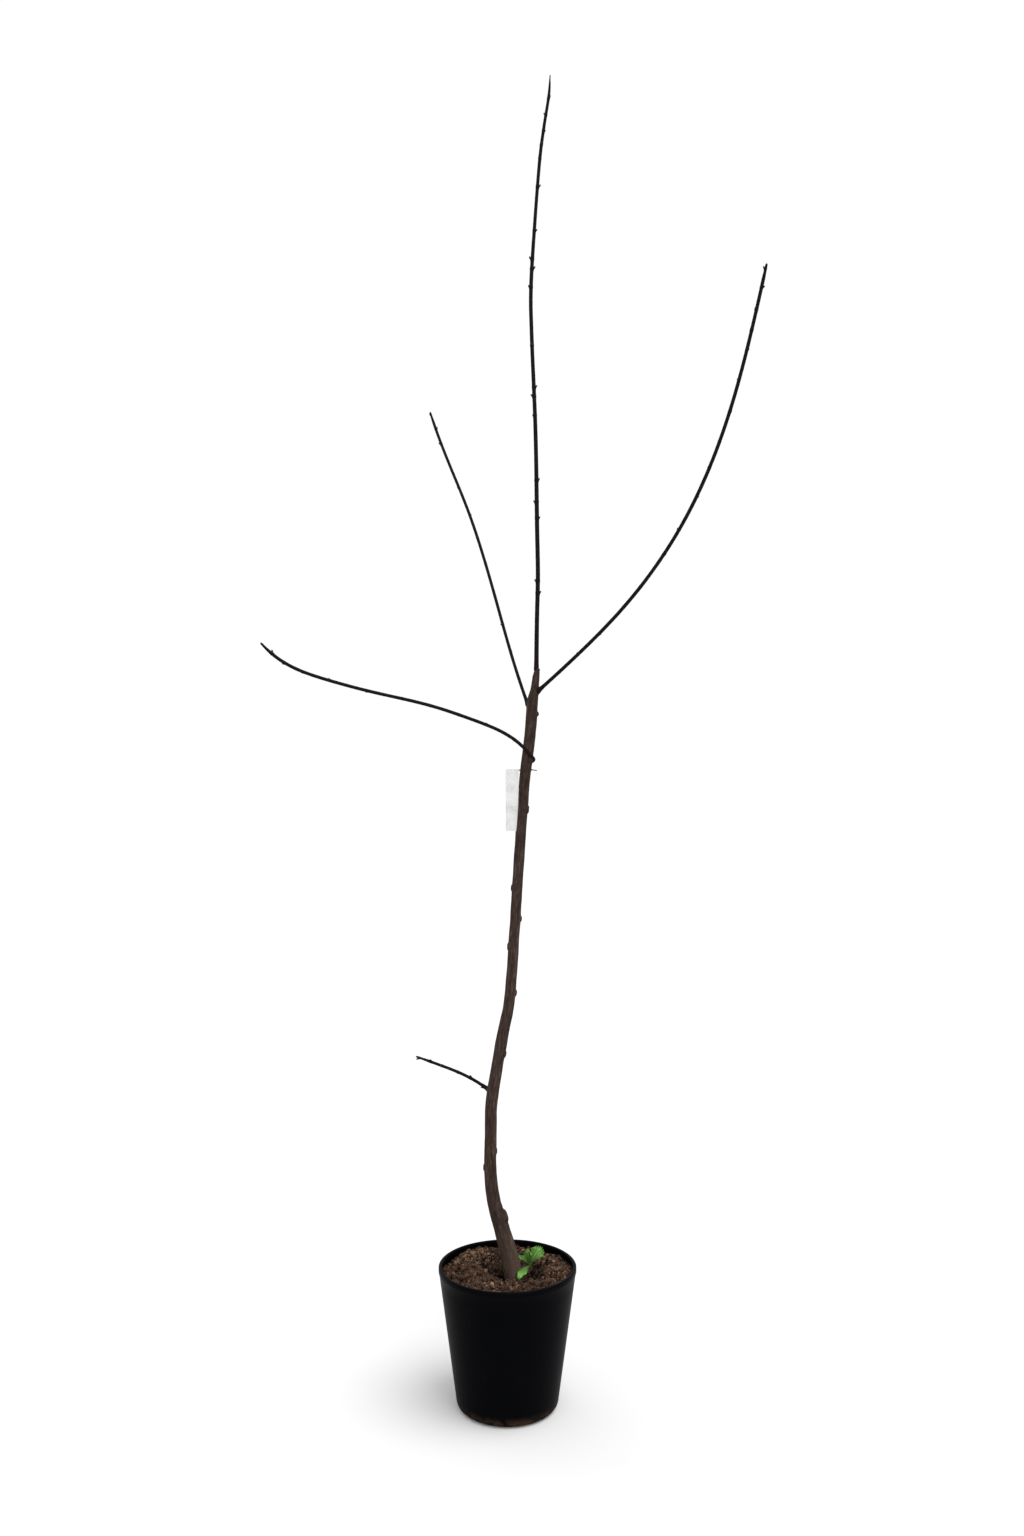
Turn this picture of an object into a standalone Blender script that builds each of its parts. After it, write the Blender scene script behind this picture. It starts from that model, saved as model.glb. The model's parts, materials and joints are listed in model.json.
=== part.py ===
"""A young persimmon tree in a round black nursery pot, bare in its winter rest, about 2.5 m tall.

The trunk leans out of the pot, bends back and runs up to the cut where its first top was pruned. A
leader carries on from there, with three long boughs and one low twig round it. Each of these ends
in last season's shoot, with its buds. A leafy sprout stands at the trunk's foot, and a small blank
tag is tied to the trunk.

Metres, +Z up. The origin is on the pot's flat underside, at its middle. Bearings are degrees
round +Z from +X, so -90 is towards the viewer.
"""

import math
import random
from collections import namedtuple

import bmesh
import bpy
from mathutils import Matrix, Vector, noise

# Clearance between neighbours that touch
GAP = 0.0003
CUTTER_GROWTH = 0.0004

# Pot
POT_HEIGHT = 0.262
POT_RIM_RADIUS = 0.130
POT_RIM_WIDTH = 0.0068
POT_RIM_DROP = 0.010
POT_RIM_STEP = 0.0009
POT_RIM_ROUND = 0.0026
POT_FOOT_RADIUS = 0.0948
POT_FOOT_ROUND = 0.014
POT_WALL = 0.0022
POT_STEPS = 60
DRAIN_COUNT = 8
DRAIN_RADIUS = 0.0065
DRAIN_CIRCLE = 0.058

# Potting mix, which comes up to just under the rim
MIX_LEVEL = 0.2475
MIX_LUMP = 0.0032
MIX_LUMP_SPACING = 0.020
MIX_RINGS = 11
MIX_STEPS = 44
# Mounds and hollows as (x, y, spread, height)
MIX_FORMS = (
    (-0.060, 0.084, 0.026, 0.0085),
    (0.012, 0.100, 0.024, 0.0060),
    (0.085, 0.045, 0.024, 0.0040),
    (-0.012, 0.000, 0.014, -0.0060),
    (0.051, -0.006, 0.012, -0.0090),
    (0.018, -0.012, 0.028, -0.0075),
    (-0.070, -0.030, 0.030, 0.0025),
)

# Trunk stations as (height, x, y, radius), from its flat cut in the mix to its pruned top
TRUNK_STATIONS = (
    (0.236, 0.0122, 0.0060, 0.0176),
    (0.276, 0.0036, 0.0060, 0.0160),
    (0.321, -0.0087, 0.0055, 0.0150),
    (0.382, -0.0261, 0.0040, 0.0130),
    (0.443, -0.0324, 0.0025, 0.0117),
    (0.504, -0.0316, 0.0020, 0.0113),
    (0.565, -0.0302, 0.0020, 0.0114),
    (0.625, -0.0213, 0.0025, 0.0112),
    (0.701, -0.0081, 0.0040, 0.0110),
    (0.761, 0.0038, 0.0050, 0.0104),
    (0.882, 0.0127, 0.0080, 0.0100),
    (1.018, 0.0214, 0.0110, 0.0100),
    (1.169, 0.0318, 0.0105, 0.0104),
    (1.260, 0.0424, 0.0080, 0.0107),
    (1.320, 0.0469, 0.0060, 0.0104),
    (1.350, 0.0514, 0.0055, 0.0078),
    (1.388, 0.0552, 0.0050, 0.0061),
)
TRUNK_SPAN_STEPS = 4

# Old bud scars and pruned spurs on the trunk as (height, bearing, half height, how far it stands out)
TRUNK_KNOTS = (
    (0.350, -12.0, 0.0135, 0.0052),
    (0.445, 176.0, 0.0070, 0.0022),
    (0.476, 8.0, 0.0070, 0.0022),
    (0.661, -20.0, 0.0075, 0.0030),
    (0.775, 5.0, 0.0070, 0.0030),
    (0.861, 178.0, 0.0080, 0.0024),
    (0.915, -8.0, 0.0060, 0.0030),
    (0.972, 172.0, 0.0075, 0.0024),
    (1.122, -6.0, 0.0085, 0.0032),
    (1.303, -10.0, 0.0050, 0.0038),
)

# Leader stations as (height, x, y, radius), from the pruned top to the tree's highest bud
LEADER_STATIONS = (
    (1.388, 0.0546, 0.005, 0.0040),
    (1.476, 0.0557, 0.009, 0.0037),
    (1.567, 0.0577, 0.013, 0.0037),
    (1.658, 0.0562, 0.016, 0.0037),
    (1.841, 0.0533, 0.021, 0.0034),
    (2.025, 0.0460, 0.022, 0.0032),
    (2.116, 0.0447, 0.020, 0.0032),
    (2.236, 0.0518, 0.016, 0.0028),
    (2.352, 0.0610, 0.007, 0.0027),
    (2.411, 0.0688, 0.001, 0.0025),
    (2.467, 0.0778, -0.005, 0.0022),
    (2.505, 0.0803, -0.009, 0.0010),
)
LEADER_SPAN_STEPS = 4
LEADER_SHOOT_LENGTH = 0.170

# A limb leaves the trunk at a height, on one side of it and this many trunk radii out from its
# middle, and heads off on its own bearing, which drifts by the turn. Its elevations, in degrees,
# are spaced evenly from root to tip. The shoot is how much of its length grew last season.
Limb = namedtuple(
    "Limb", "height side stand_off bearing turn elevations length root_radius tip_radius shoot"
)
RIGHT_BOUGH = Limb(
    height=1.3449,
    side=-32,
    stand_off=0.92,
    bearing=-32,
    turn=-6,
    elevations=(36, 40, 51, 64, 73, 76),
    length=0.869,
    root_radius=0.0031,
    tip_radius=0.0018,
    shoot=0.128,
)
LEFT_BOUGH = Limb(
    height=1.3211,
    side=158,
    stand_off=0.92,
    bearing=138,
    turn=0,
    elevations=(65, 70, 68, 62, 67),
    length=0.664,
    root_radius=0.0027,
    tip_radius=0.0013,
    shoot=0.096,
)
LOW_BOUGH = Limb(
    height=1.2174,
    side=-45,
    stand_off=1.5,
    bearing=198,
    turn=8,
    elevations=(53, 23, 17, 11, 13, 19, 47),
    length=0.562,
    root_radius=0.0030,
    tip_radius=0.0012,
    shoot=0.072,
)
LOW_TWIG = Limb(
    height=0.5916,
    side=160,
    stand_off=0.92,
    bearing=160,
    turn=0,
    elevations=(31, 16, 14),
    length=0.159,
    root_radius=0.0029,
    tip_radius=0.0010,
    shoot=0.159,
)
LIMB_STEP = 0.026
CUT_CLEAR = 0.004

# Side buds on the shoots
BUD_LENGTH = 0.0062
BUD_RADIUS = 0.0019
BUD_SPACING = 0.030
BUD_SPIRAL = 144.0
BUD_SEED = 7

# Sprout of young leaves at the trunk's foot, round a short stem. A leaf heads off on a bearing,
# rises and droops by so many degrees, and is rolled about its own length.
Leaf = namedtuple("Leaf", "bearing rise droop roll length width")
SPROUT_ROOT = (0.0427, 0.0240)
SPROUT_STEM_RADIUS = 0.0022
SPROUT_STEM_LENGTH = 0.008
SPROUT_LEAVES = (
    Leaf(bearing=26, rise=58, droop=10, roll=70, length=0.038, width=0.026),
    Leaf(bearing=150, rise=76, droop=-6, roll=-100, length=0.027, width=0.017),
    Leaf(bearing=251, rise=4, droop=9, roll=0, length=0.052, width=0.019),
    Leaf(bearing=165, rise=54, droop=16, roll=-60, length=0.030, width=0.010),
)
LEAF_THICKNESS = 0.0006
LEAF_ROWS = 7
LEAF_TOOTH = 0.22

# Blank tag on a tie round the trunk
TIE_HEIGHT = 1.1960
TIE_WIDTH = 0.0045
TIE_THICKNESS = 0.0011
TIE_TAIL = 0.011
TAG_WIDTH = 0.0250
TAG_LENGTH = 0.1180
TAG_THICKNESS = 0.0009
TAG_CLEAR = 0.0032
TAG_SWING = 9.0


def clear_scene():
    """Start from an empty scene."""
    for thing in list(bpy.data.objects):
        bpy.data.objects.remove(thing, do_unlink=True)


def new_collection(name, hidden=False):
    """A collection under the scene's own, left out of renders when it only holds helpers."""
    collection = bpy.data.collections.new(name)
    bpy.context.scene.collection.children.link(collection)
    collection.hide_render = hidden
    return collection


def plain_material(name, colour, roughness):
    """A Principled material of one colour and roughness, with no metal in it."""
    material = bpy.data.materials.new(name)
    material.use_nodes = True
    shader = material.node_tree.nodes["Principled BSDF"]
    shader.inputs["Base Color"].default_value = (*colour, 1.0)
    shader.inputs["Roughness"].default_value = roughness
    shader.inputs["Metallic"].default_value = 0.0
    return material


def add_object(name, data, collection, material=None):
    """Link new data as an object at the origin."""
    thing = bpy.data.objects.new(name, data)
    collection.objects.link(thing)
    if material is not None:
        data.materials.append(material)
    return thing


def as_cutter(thing):
    """Mark a helper that only cuts others."""
    thing.display_type = "WIRE"
    thing.hide_render = True


def mesh_from(name, bm):
    """Turn a bmesh into mesh data with its faces pointing out."""
    bmesh.ops.recalc_face_normals(bm, faces=bm.faces)
    mesh = bpy.data.meshes.new(name)
    bm.to_mesh(mesh)
    bm.free()
    return mesh


def evaluated_mesh(thing):
    """The object's mesh with its modifiers or its curve bevel worked out, its points welded."""
    bpy.context.view_layer.update()
    graph = bpy.context.evaluated_depsgraph_get()
    mesh = bpy.data.meshes.new_from_object(thing.evaluated_get(graph))
    bm = bmesh.new()
    bm.from_mesh(mesh)
    bmesh.ops.remove_doubles(bm, verts=bm.verts, dist=1e-6)
    bmesh.ops.recalc_face_normals(bm, faces=bm.faces)
    bm.to_mesh(mesh)
    bm.free()
    return mesh


def settle(thing):
    """Apply the object's modifiers."""
    mesh = evaluated_mesh(thing)
    thing.modifiers.clear()
    thing.data = mesh


def shade(thing, angle=40.0):
    """Smooth shading that keeps corners sharper than the angle."""
    thing.data.shade_smooth()
    thing.data.set_sharp_from_angle(angle=math.radians(angle))


def boolean(thing, operation, others):
    """Join the other objects to this one, or cut them from it, and apply the result."""
    group = bpy.data.collections.new(thing.name + "_" + operation.lower())
    for other in others:
        group.objects.link(other)
    modifier = thing.modifiers.new(operation.title(), "BOOLEAN")
    modifier.operation = operation
    modifier.operand_type = "COLLECTION"
    modifier.collection = group
    modifier.solver = "EXACT"
    settle(thing)
    bpy.data.collections.remove(group)


def join(thing, additions):
    """Fuse the additions into the object in one union, and remove them."""
    boolean(thing, "UNION", additions)
    for addition in additions:
        bpy.data.objects.remove(addition, do_unlink=True)


def direction(bearing, elevation):
    """A unit vector from a bearing and an elevation in degrees."""
    flat = math.cos(math.radians(elevation))
    return Vector(
        (
            flat * math.cos(math.radians(bearing)),
            flat * math.sin(math.radians(bearing)),
            math.sin(math.radians(elevation)),
        )
    )


def smooth_value(values, share):
    """Read a smooth curve through evenly spaced values, at a share of the way from 0 to 1."""
    last = len(values) - 1
    place = min(max(share, 0.0), 1.0) * last
    index = min(int(place), last - 1)
    t = place - index
    here = values[index]
    after = values[index + 1]
    before = values[index - 1] if index > 0 else 2 * here - after
    beyond = values[index + 2] if index + 2 <= last else 2 * after - here
    linear = (after - before) * t
    square = (2 * before - 5 * here + 4 * after - beyond) * t**2
    cube = (3 * here - before - 3 * after + beyond) * t**3
    return 0.5 * (2 * here + linear + square + cube)


def stations_line(stations, span_steps):
    """Points and radii along a smooth line through rows of height, x, y and radius."""
    rows = [Vector(row) for row in stations]
    count = (len(rows) - 1) * span_steps
    line = []
    for step in range(count + 1):
        height, x, y, radius = smooth_value(rows, step / count)
        line.append((Vector((x, y, height)), radius))
    return line


def place_on(line, height):
    """The point and radius of an upright line at a height."""
    for (low, low_radius), (high, high_radius) in zip(line, line[1:]):
        if low.z <= height <= high.z:
            share = (height - low.z) / (high.z - low.z)
            return low.lerp(high, share), low_radius + (high_radius - low_radius) * share
    raise ValueError(f"no point at height {height}")


def limb_line(limb, trunk_line):
    """Points and radii of a limb, from inside the trunk's skin to its tip."""
    axis, trunk_radius = place_on(trunk_line, limb.height)
    root = axis + direction(limb.side, 0) * trunk_radius * limb.stand_off
    count = round(limb.length / LIMB_STEP)
    step = limb.length / count
    first = direction(limb.bearing, limb.elevations[0])
    line = [(root - first * trunk_radius * 0.6, limb.root_radius)]
    point = root
    for index in range(count + 1):
        share = index / count
        radius = limb.root_radius + (limb.tip_radius - limb.root_radius) * share
        line.append((point, radius))
        middle = (index + 0.5) / count
        elevation = smooth_value(limb.elevations, middle)
        point = point + direction(limb.bearing + limb.turn * middle, elevation) * step
    return line


def split_line(line, length):
    """Cut the last length off a line. The two parts stand a gap apart."""
    reach = 0.0
    for index in range(len(line) - 1, 0, -1):
        tail, tail_radius = line[index]
        head, head_radius = line[index - 1]
        stretch = (tail - head).length
        if reach + stretch >= length:
            share = (length - reach) / stretch
            cut = tail.lerp(head, share)
            radius = tail_radius + (head_radius - tail_radius) * share
            onward = (tail - head).normalized()
            lower = [row for row in line[:index] if (row[0] - cut).length > CUT_CLEAR]
            upper = [row for row in line[index:] if (row[0] - cut).length > CUT_CLEAR]
            lower.append((cut - onward * GAP / 2, radius))
            upper.insert(0, (cut + onward * GAP / 2, radius))
            return lower, upper
        reach += stretch
    raise ValueError("the line is shorter than the length to cut off")


def tube(name, line, resolution, collection, material=None):
    """A tapering round limb along a line, as a welded mesh."""
    curve = bpy.data.curves.new(name, "CURVE")
    curve.dimensions = "3D"
    curve.bevel_depth = 1.0
    curve.bevel_resolution = resolution
    curve.use_fill_caps = True
    spline = curve.splines.new("POLY")
    spline.points.add(len(line) - 1)
    for point, (place, radius) in zip(spline.points, line):
        point.co = (*place, 1.0)
        point.radius = radius
    guide = bpy.data.objects.new(name + "_curve", curve)
    collection.objects.link(guide)
    mesh = evaluated_mesh(guide)
    mesh.name = name
    bpy.data.objects.remove(guide, do_unlink=True)
    return add_object(name, mesh, collection, material)


def turned(name, profile, steps, collection, material=None):
    """A turned body from a profile of radii and heights that runs down its outer side."""
    bm = bmesh.new()
    points = [bm.verts.new((radius, 0.0, height)) for radius, height in profile]
    for start, end in zip(points, points[1:]):
        bm.edges.new((start, end))
    mesh = bpy.data.meshes.new(name)
    bm.to_mesh(mesh)
    bm.free()
    thing = add_object(name, mesh, collection, material)
    screw = thing.modifiers.new("Turn", "SCREW")
    screw.axis = "Z"
    screw.steps = steps
    screw.render_steps = steps
    screw.use_merge_vertices = True
    screw.merge_threshold = 0.00005
    settle(thing)
    return thing


def arc(centre, radius, start, end, steps):
    """Points of an arc in the profile plane, with its angles in degrees."""
    angles = [math.radians(start + (end - start) * step / steps) for step in range(steps + 1)]
    return [
        (centre[0] + radius * math.cos(angle), centre[1] + radius * math.sin(angle))
        for angle in angles
    ]


def wall_radius(height):
    """The outer radius of the pot's straight wall at a height."""
    top = POT_HEIGHT - POT_RIM_DROP
    spread = POT_RIM_RADIUS - POT_RIM_STEP - POT_FOOT_RADIUS
    return POT_FOOT_RADIUS + spread * height / top


def wall_angle():
    """The wall's lean outwards in degrees."""
    top = POT_HEIGHT - POT_RIM_DROP
    return math.degrees(math.atan((wall_radius(top) - POT_FOOT_RADIUS) / top))


def foot_arc(inset, base):
    """The round between floor and wall, this far inside the pot's outer skin, floor end first."""
    radius = max(POT_FOOT_ROUND - inset, 0.002)
    height = base + radius
    lean = wall_angle()
    centre = wall_radius(height) - (inset + radius) / math.cos(math.radians(lean))
    return arc((centre, height), radius, -90, -lean, 4)


def make_pot(parts, cutters, material):
    """The black pot: a thin turned wall with a beaded rim, and drain holes in its floor."""
    rim_bottom = POT_HEIGHT - POT_RIM_DROP
    bead_inside = POT_RIM_RADIUS - POT_RIM_WIDTH
    inner_wall_top = rim_bottom - 0.004
    profile = [(0.0, POT_WALL)]
    profile += foot_arc(POT_WALL, POT_WALL)
    profile.append((wall_radius(inner_wall_top) - POT_WALL, inner_wall_top))
    profile.append((bead_inside, rim_bottom + 0.001))
    bead = POT_HEIGHT - POT_RIM_ROUND
    profile += arc((bead_inside + POT_RIM_ROUND, bead), POT_RIM_ROUND, 180, 90, 3)
    profile += arc((POT_RIM_RADIUS - POT_RIM_ROUND, bead), POT_RIM_ROUND, 90, 0, 3)
    profile.append((POT_RIM_RADIUS, rim_bottom))
    profile.append((wall_radius(rim_bottom - 0.001), rim_bottom - 0.001))
    profile += foot_arc(0.0, 0.0)[::-1]
    profile.append((0.0, 0.0))
    pot = turned("pot", profile, POT_STEPS, parts, material)
    drills = []
    for index in range(DRAIN_COUNT):
        turn = 2 * math.pi * (index + 0.5) / DRAIN_COUNT
        bm = bmesh.new()
        bmesh.ops.create_cone(
            bm,
            cap_ends=True,
            segments=14,
            radius1=DRAIN_RADIUS,
            radius2=DRAIN_RADIUS,
            depth=POT_WALL * 4,
        )
        drill = add_object(f"drain_drill_{index + 1}", mesh_from("drain_drill", bm), cutters)
        drill.location = (DRAIN_CIRCLE * math.cos(turn), DRAIN_CIRCLE * math.sin(turn), POT_WALL / 2)
        as_cutter(drill)
        drills.append(drill)
    boolean(pot, "DIFFERENCE", drills)
    shade(pot)
    return pot


def mix_height(x, y):
    """The height of the potting mix: a lumpy level with its mounds and hollows."""
    height = MIX_LEVEL
    for form_x, form_y, spread, rise in MIX_FORMS:
        away = (x - form_x) ** 2 + (y - form_y) ** 2
        height += rise * math.exp(-away / (2 * spread**2))
    lumps = noise.noise(Vector((x, y, 0.37)) / MIX_LUMP_SPACING)
    return height + MIX_LUMP * lumps


def make_mix(parts, material, trunk_cutter):
    """The potting mix that fills the pot, with the trunk's seat cut in it."""
    clear = POT_WALL + GAP
    edge_height = POT_HEIGHT - POT_RIM_DROP - 0.0045
    edge = wall_radius(edge_height) - clear
    profile = [(0.0, MIX_LEVEL)]
    profile += [(edge * ring / MIX_RINGS, MIX_LEVEL) for ring in range(1, MIX_RINGS + 1)]
    profile.append((edge, MIX_LEVEL - 0.012))
    profile += foot_arc(clear, clear)[::-1]
    profile.append((0.0, clear))
    mix = turned("potting_mix", profile, MIX_STEPS, parts, material)
    for vertex in mix.data.vertices:
        x, y, height = vertex.co
        if height > MIX_LEVEL - 0.001:
            top = mix_height(x, y)
            reach = math.hypot(x, y)
            if reach > 0.93 * edge:
                top = min(top, edge_height)
            vertex.co.z = top
        wall = wall_radius(vertex.co.z) - clear
        if math.hypot(x, y) > wall:
            scale = wall / math.hypot(x, y)
            vertex.co.x = x * scale
            vertex.co.y = y * scale
    boolean(mix, "DIFFERENCE", [trunk_cutter])
    shade(mix, 60.0)
    return mix


def knob(name, place, heading, size, stretch, collection):
    """A rounded swelling, longer along the heading than across it."""
    bm = bmesh.new()
    bmesh.ops.create_icosphere(bm, subdivisions=1, radius=size)
    turn = heading.to_track_quat("Z", "Y").to_matrix().to_4x4()
    scale = Matrix.Diagonal((1.0, 1.0, stretch, 1.0))
    bmesh.ops.transform(bm, matrix=Matrix.Translation(place) @ turn @ scale, verts=bm.verts)
    return add_object(name, mesh_from(name, bm), collection)


def bud(name, place, outward, onward, size, collection):
    """A pointed bud pressed to its shoot, its root sunk in the wood."""
    axis = (onward * 0.8 + outward * 0.6).normalized()
    bm = bmesh.new()
    bmesh.ops.create_cone(
        bm,
        cap_ends=True,
        segments=6,
        radius1=BUD_RADIUS * size,
        radius2=BUD_RADIUS * size * 0.15,
        depth=BUD_LENGTH * size,
    )
    turn = axis.to_track_quat("Z", "Y").to_matrix().to_4x4()
    lift = Matrix.Translation((0.0, 0.0, BUD_LENGTH * size * 0.3))
    bmesh.ops.transform(bm, matrix=Matrix.Translation(place) @ turn @ lift, verts=bm.verts)
    return add_object(name, mesh_from(name, bm), collection)


def make_trunk(line, limbs, parts, material):
    """The trunk with its root flare, its old scars, and a collar under each limb."""
    trunk = tube("trunk", line, 4, parts, material)
    swellings = []
    for index, (height, side, half_height, stands_out) in enumerate(TRUNK_KNOTS):
        axis, radius = place_on(line, height)
        size = half_height * 0.6
        place = axis + direction(side, 0) * (radius + stands_out - size)
        name = f"knot_{index + 1}"
        swellings.append(knob(name, place, Vector((0, 0, 1)), size, half_height / size, parts))
    for index, limb in enumerate(limbs):
        axis, radius = place_on(line, limb.height)
        place = axis + direction(limb.side, 0) * (radius * limb.stand_off - limb.root_radius * 0.8)
        heading = direction(limb.bearing, limb.elevations[0])
        size = limb.root_radius * 1.55
        swellings.append(knob(f"collar_{index + 1}", place, heading, size, 1.3, parts))
    join(trunk, swellings)
    shade(trunk, 50.0)
    return trunk


def grown_copy(thing, amount, collection):
    """A copy of an object that stands this far proud of it, to cut its neighbours clear."""
    bm = bmesh.new()
    bm.from_mesh(thing.data)
    bmesh.ops.triangulate(bm, faces=bm.faces)
    bm.normal_update()
    places = [vertex.co + vertex.normal * amount for vertex in bm.verts]
    for vertex, place in zip(bm.verts, places):
        vertex.co = place
    copy = add_object(thing.name + "_clearance", mesh_from(thing.name + "_clearance", bm), collection)
    as_cutter(copy)
    return copy


def make_bough(name, line, shoot_length, parts, material, trunk_cutter):
    """A bough cut clear of the trunk. It returns the line that is left for its end shoot."""
    lower, upper = split_line(line, shoot_length)
    bough = tube(name, lower, 2, parts, material)
    boolean(bough, "DIFFERENCE", [trunk_cutter])
    shade(bough, 50.0)
    return upper


def make_shoot(name, line, seed, parts, material, trunk_cutter=None):
    """Last season's growth: one tapering twig with buds set round it in a spiral."""
    shoot = tube(name, line, 2, parts, material)
    if trunk_cutter is not None:
        boolean(shoot, "DIFFERENCE", [trunk_cutter])
    chance = random.Random(seed)
    turn = chance.uniform(0, 360)
    next_bud = BUD_SPACING * 0.6
    reach = 0.0
    buds = []
    for (start, start_radius), (end, end_radius) in zip(line, line[1:]):
        stretch = (end - start).length
        onward = (end - start).normalized()
        across = onward.cross(Vector((0.3, 0.2, 0.9))).normalized()
        while reach + stretch > next_bud:
            share = (next_bud - reach) / stretch
            radius = start_radius + (end_radius - start_radius) * share
            outward = across.copy()
            outward.rotate(Matrix.Rotation(math.radians(turn), 3, onward))
            place = start.lerp(end, share) + outward * radius * 0.5
            size = chance.uniform(0.8, 1.05)
            buds.append(bud(f"{name}_bud_{len(buds) + 1}", place, outward, onward, size, parts))
            turn += BUD_SPIRAL + chance.uniform(-15, 15)
            next_bud += BUD_SPACING * chance.uniform(0.8, 1.25)
        reach += stretch
    join(shoot, buds)
    shade(shoot, 50.0)
    return shoot


def leaf(name, root, form, collection):
    """One toothed blade that widens towards its end and arches over."""
    bm = bmesh.new()
    bmesh.ops.create_grid(bm, x_segments=4, y_segments=LEAF_ROWS, size=0.5)
    level = direction(form.bearing + 90, 0)
    for vertex in bm.verts:
        side = vertex.co.x * 2
        share = vertex.co.y + 0.5
        row = round(share * LEAF_ROWS)
        spread = 0.16 + 0.84 * math.sin(math.pi * min(share * 0.62, 0.5)) ** 1.4
        if abs(side) > 0.9 and row % 2 == 1:
            spread *= 1 - LEAF_TOOTH
        reach = share * form.length * (1 - 0.10 * abs(side) * (row == LEAF_ROWS))
        heading = direction(form.bearing, form.rise - form.droop * share)
        across = level.copy()
        across.rotate(Matrix.Rotation(math.radians(form.roll), 3, heading))
        upper = heading.cross(across)
        fold = upper * abs(side) * form.width * 0.14 * share
        vertex.co = root + heading * reach + across * side * spread * form.width / 2 + fold
    thing = add_object(name, mesh_from(name, bm), collection)
    solidify = thing.modifiers.new("Thickness", "SOLIDIFY")
    solidify.thickness = LEAF_THICKNESS
    solidify.offset = 0.0
    settle(thing)
    return thing


def make_sprout(parts, material):
    """A tuft of young leaves on a short stem beside the trunk's foot."""
    x, y = SPROUT_ROOT
    ground = Vector((x, y, mix_height(x, y) + GAP + 0.0012))
    top = ground + Vector((0.0, 0.0, SPROUT_STEM_LENGTH))
    stem_line = [(ground, SPROUT_STEM_RADIUS * 1.2), (top, SPROUT_STEM_RADIUS)]
    sprout = tube("foot_sprout", stem_line, 2, parts, material)
    blades = []
    for index, form in enumerate(SPROUT_LEAVES):
        root = top - Vector((0.0, 0.0, SPROUT_STEM_RADIUS * (0.5 + 0.6 * index)))
        blades.append(leaf(f"sprout_leaf_{index + 1}", root, form, parts))
    join(sprout, blades)
    shade(sprout, 60.0)
    return sprout


def box(name, size, matrix, collection):
    """A plain box of this size, placed by a matrix."""
    bm = bmesh.new()
    bmesh.ops.create_cube(bm, size=1.0)
    bmesh.ops.scale(bm, vec=size, verts=bm.verts)
    bmesh.ops.transform(bm, matrix=matrix, verts=bm.verts)
    return add_object(name, mesh_from(name, bm), collection)


def make_tag(trunk_line, parts, material, trunk_cutter):
    """The blank tag: a flat strip that hangs from a tie round the trunk."""
    axis, radius = place_on(trunk_line, TIE_HEIGHT)
    bm = bmesh.new()
    bmesh.ops.create_cone(
        bm,
        cap_ends=True,
        segments=20,
        radius1=radius + GAP + TIE_THICKNESS,
        radius2=radius + GAP + TIE_THICKNESS,
        depth=TIE_WIDTH,
    )
    bmesh.ops.translate(bm, vec=axis, verts=bm.verts)
    tag = add_object("blank_tag", mesh_from("blank_tag", bm), parts, material)
    tail_place = axis + Vector((radius + TIE_TAIL / 2, 0.0, 0.0))
    tail_turn = Matrix.Rotation(math.radians(12), 4, "Y")
    tail_size = (TIE_TAIL, TIE_THICKNESS, TIE_WIDTH * 0.8)
    tail = box("tie_tail", tail_size, Matrix.Translation(tail_place) @ tail_turn, parts)
    side = Matrix.Translation(axis - Vector((radius, 0.0, 0.0)))
    swing = Matrix.Rotation(math.radians(TAG_SWING), 4, "Z")
    drop = Vector((-TAG_CLEAR - TAG_WIDTH / 2, 0.0, (TIE_WIDTH - TAG_LENGTH) / 2))
    plate_size = (TAG_WIDTH, TAG_THICKNESS, TAG_LENGTH)
    plate = box("tag_plate", plate_size, side @ swing @ Matrix.Translation(drop), parts)
    strap_size = (TAG_CLEAR * 2, TIE_THICKNESS * 1.6, TIE_WIDTH)
    strap_drop = Matrix.Translation((-TAG_CLEAR, 0.0, 0.0))
    strap = box("tag_strap", strap_size, side @ swing @ strap_drop, parts)
    join(tag, [tail, plate, strap])
    boolean(tag, "DIFFERENCE", [trunk_cutter])
    shade(tag, 30.0)
    return tag


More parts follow.
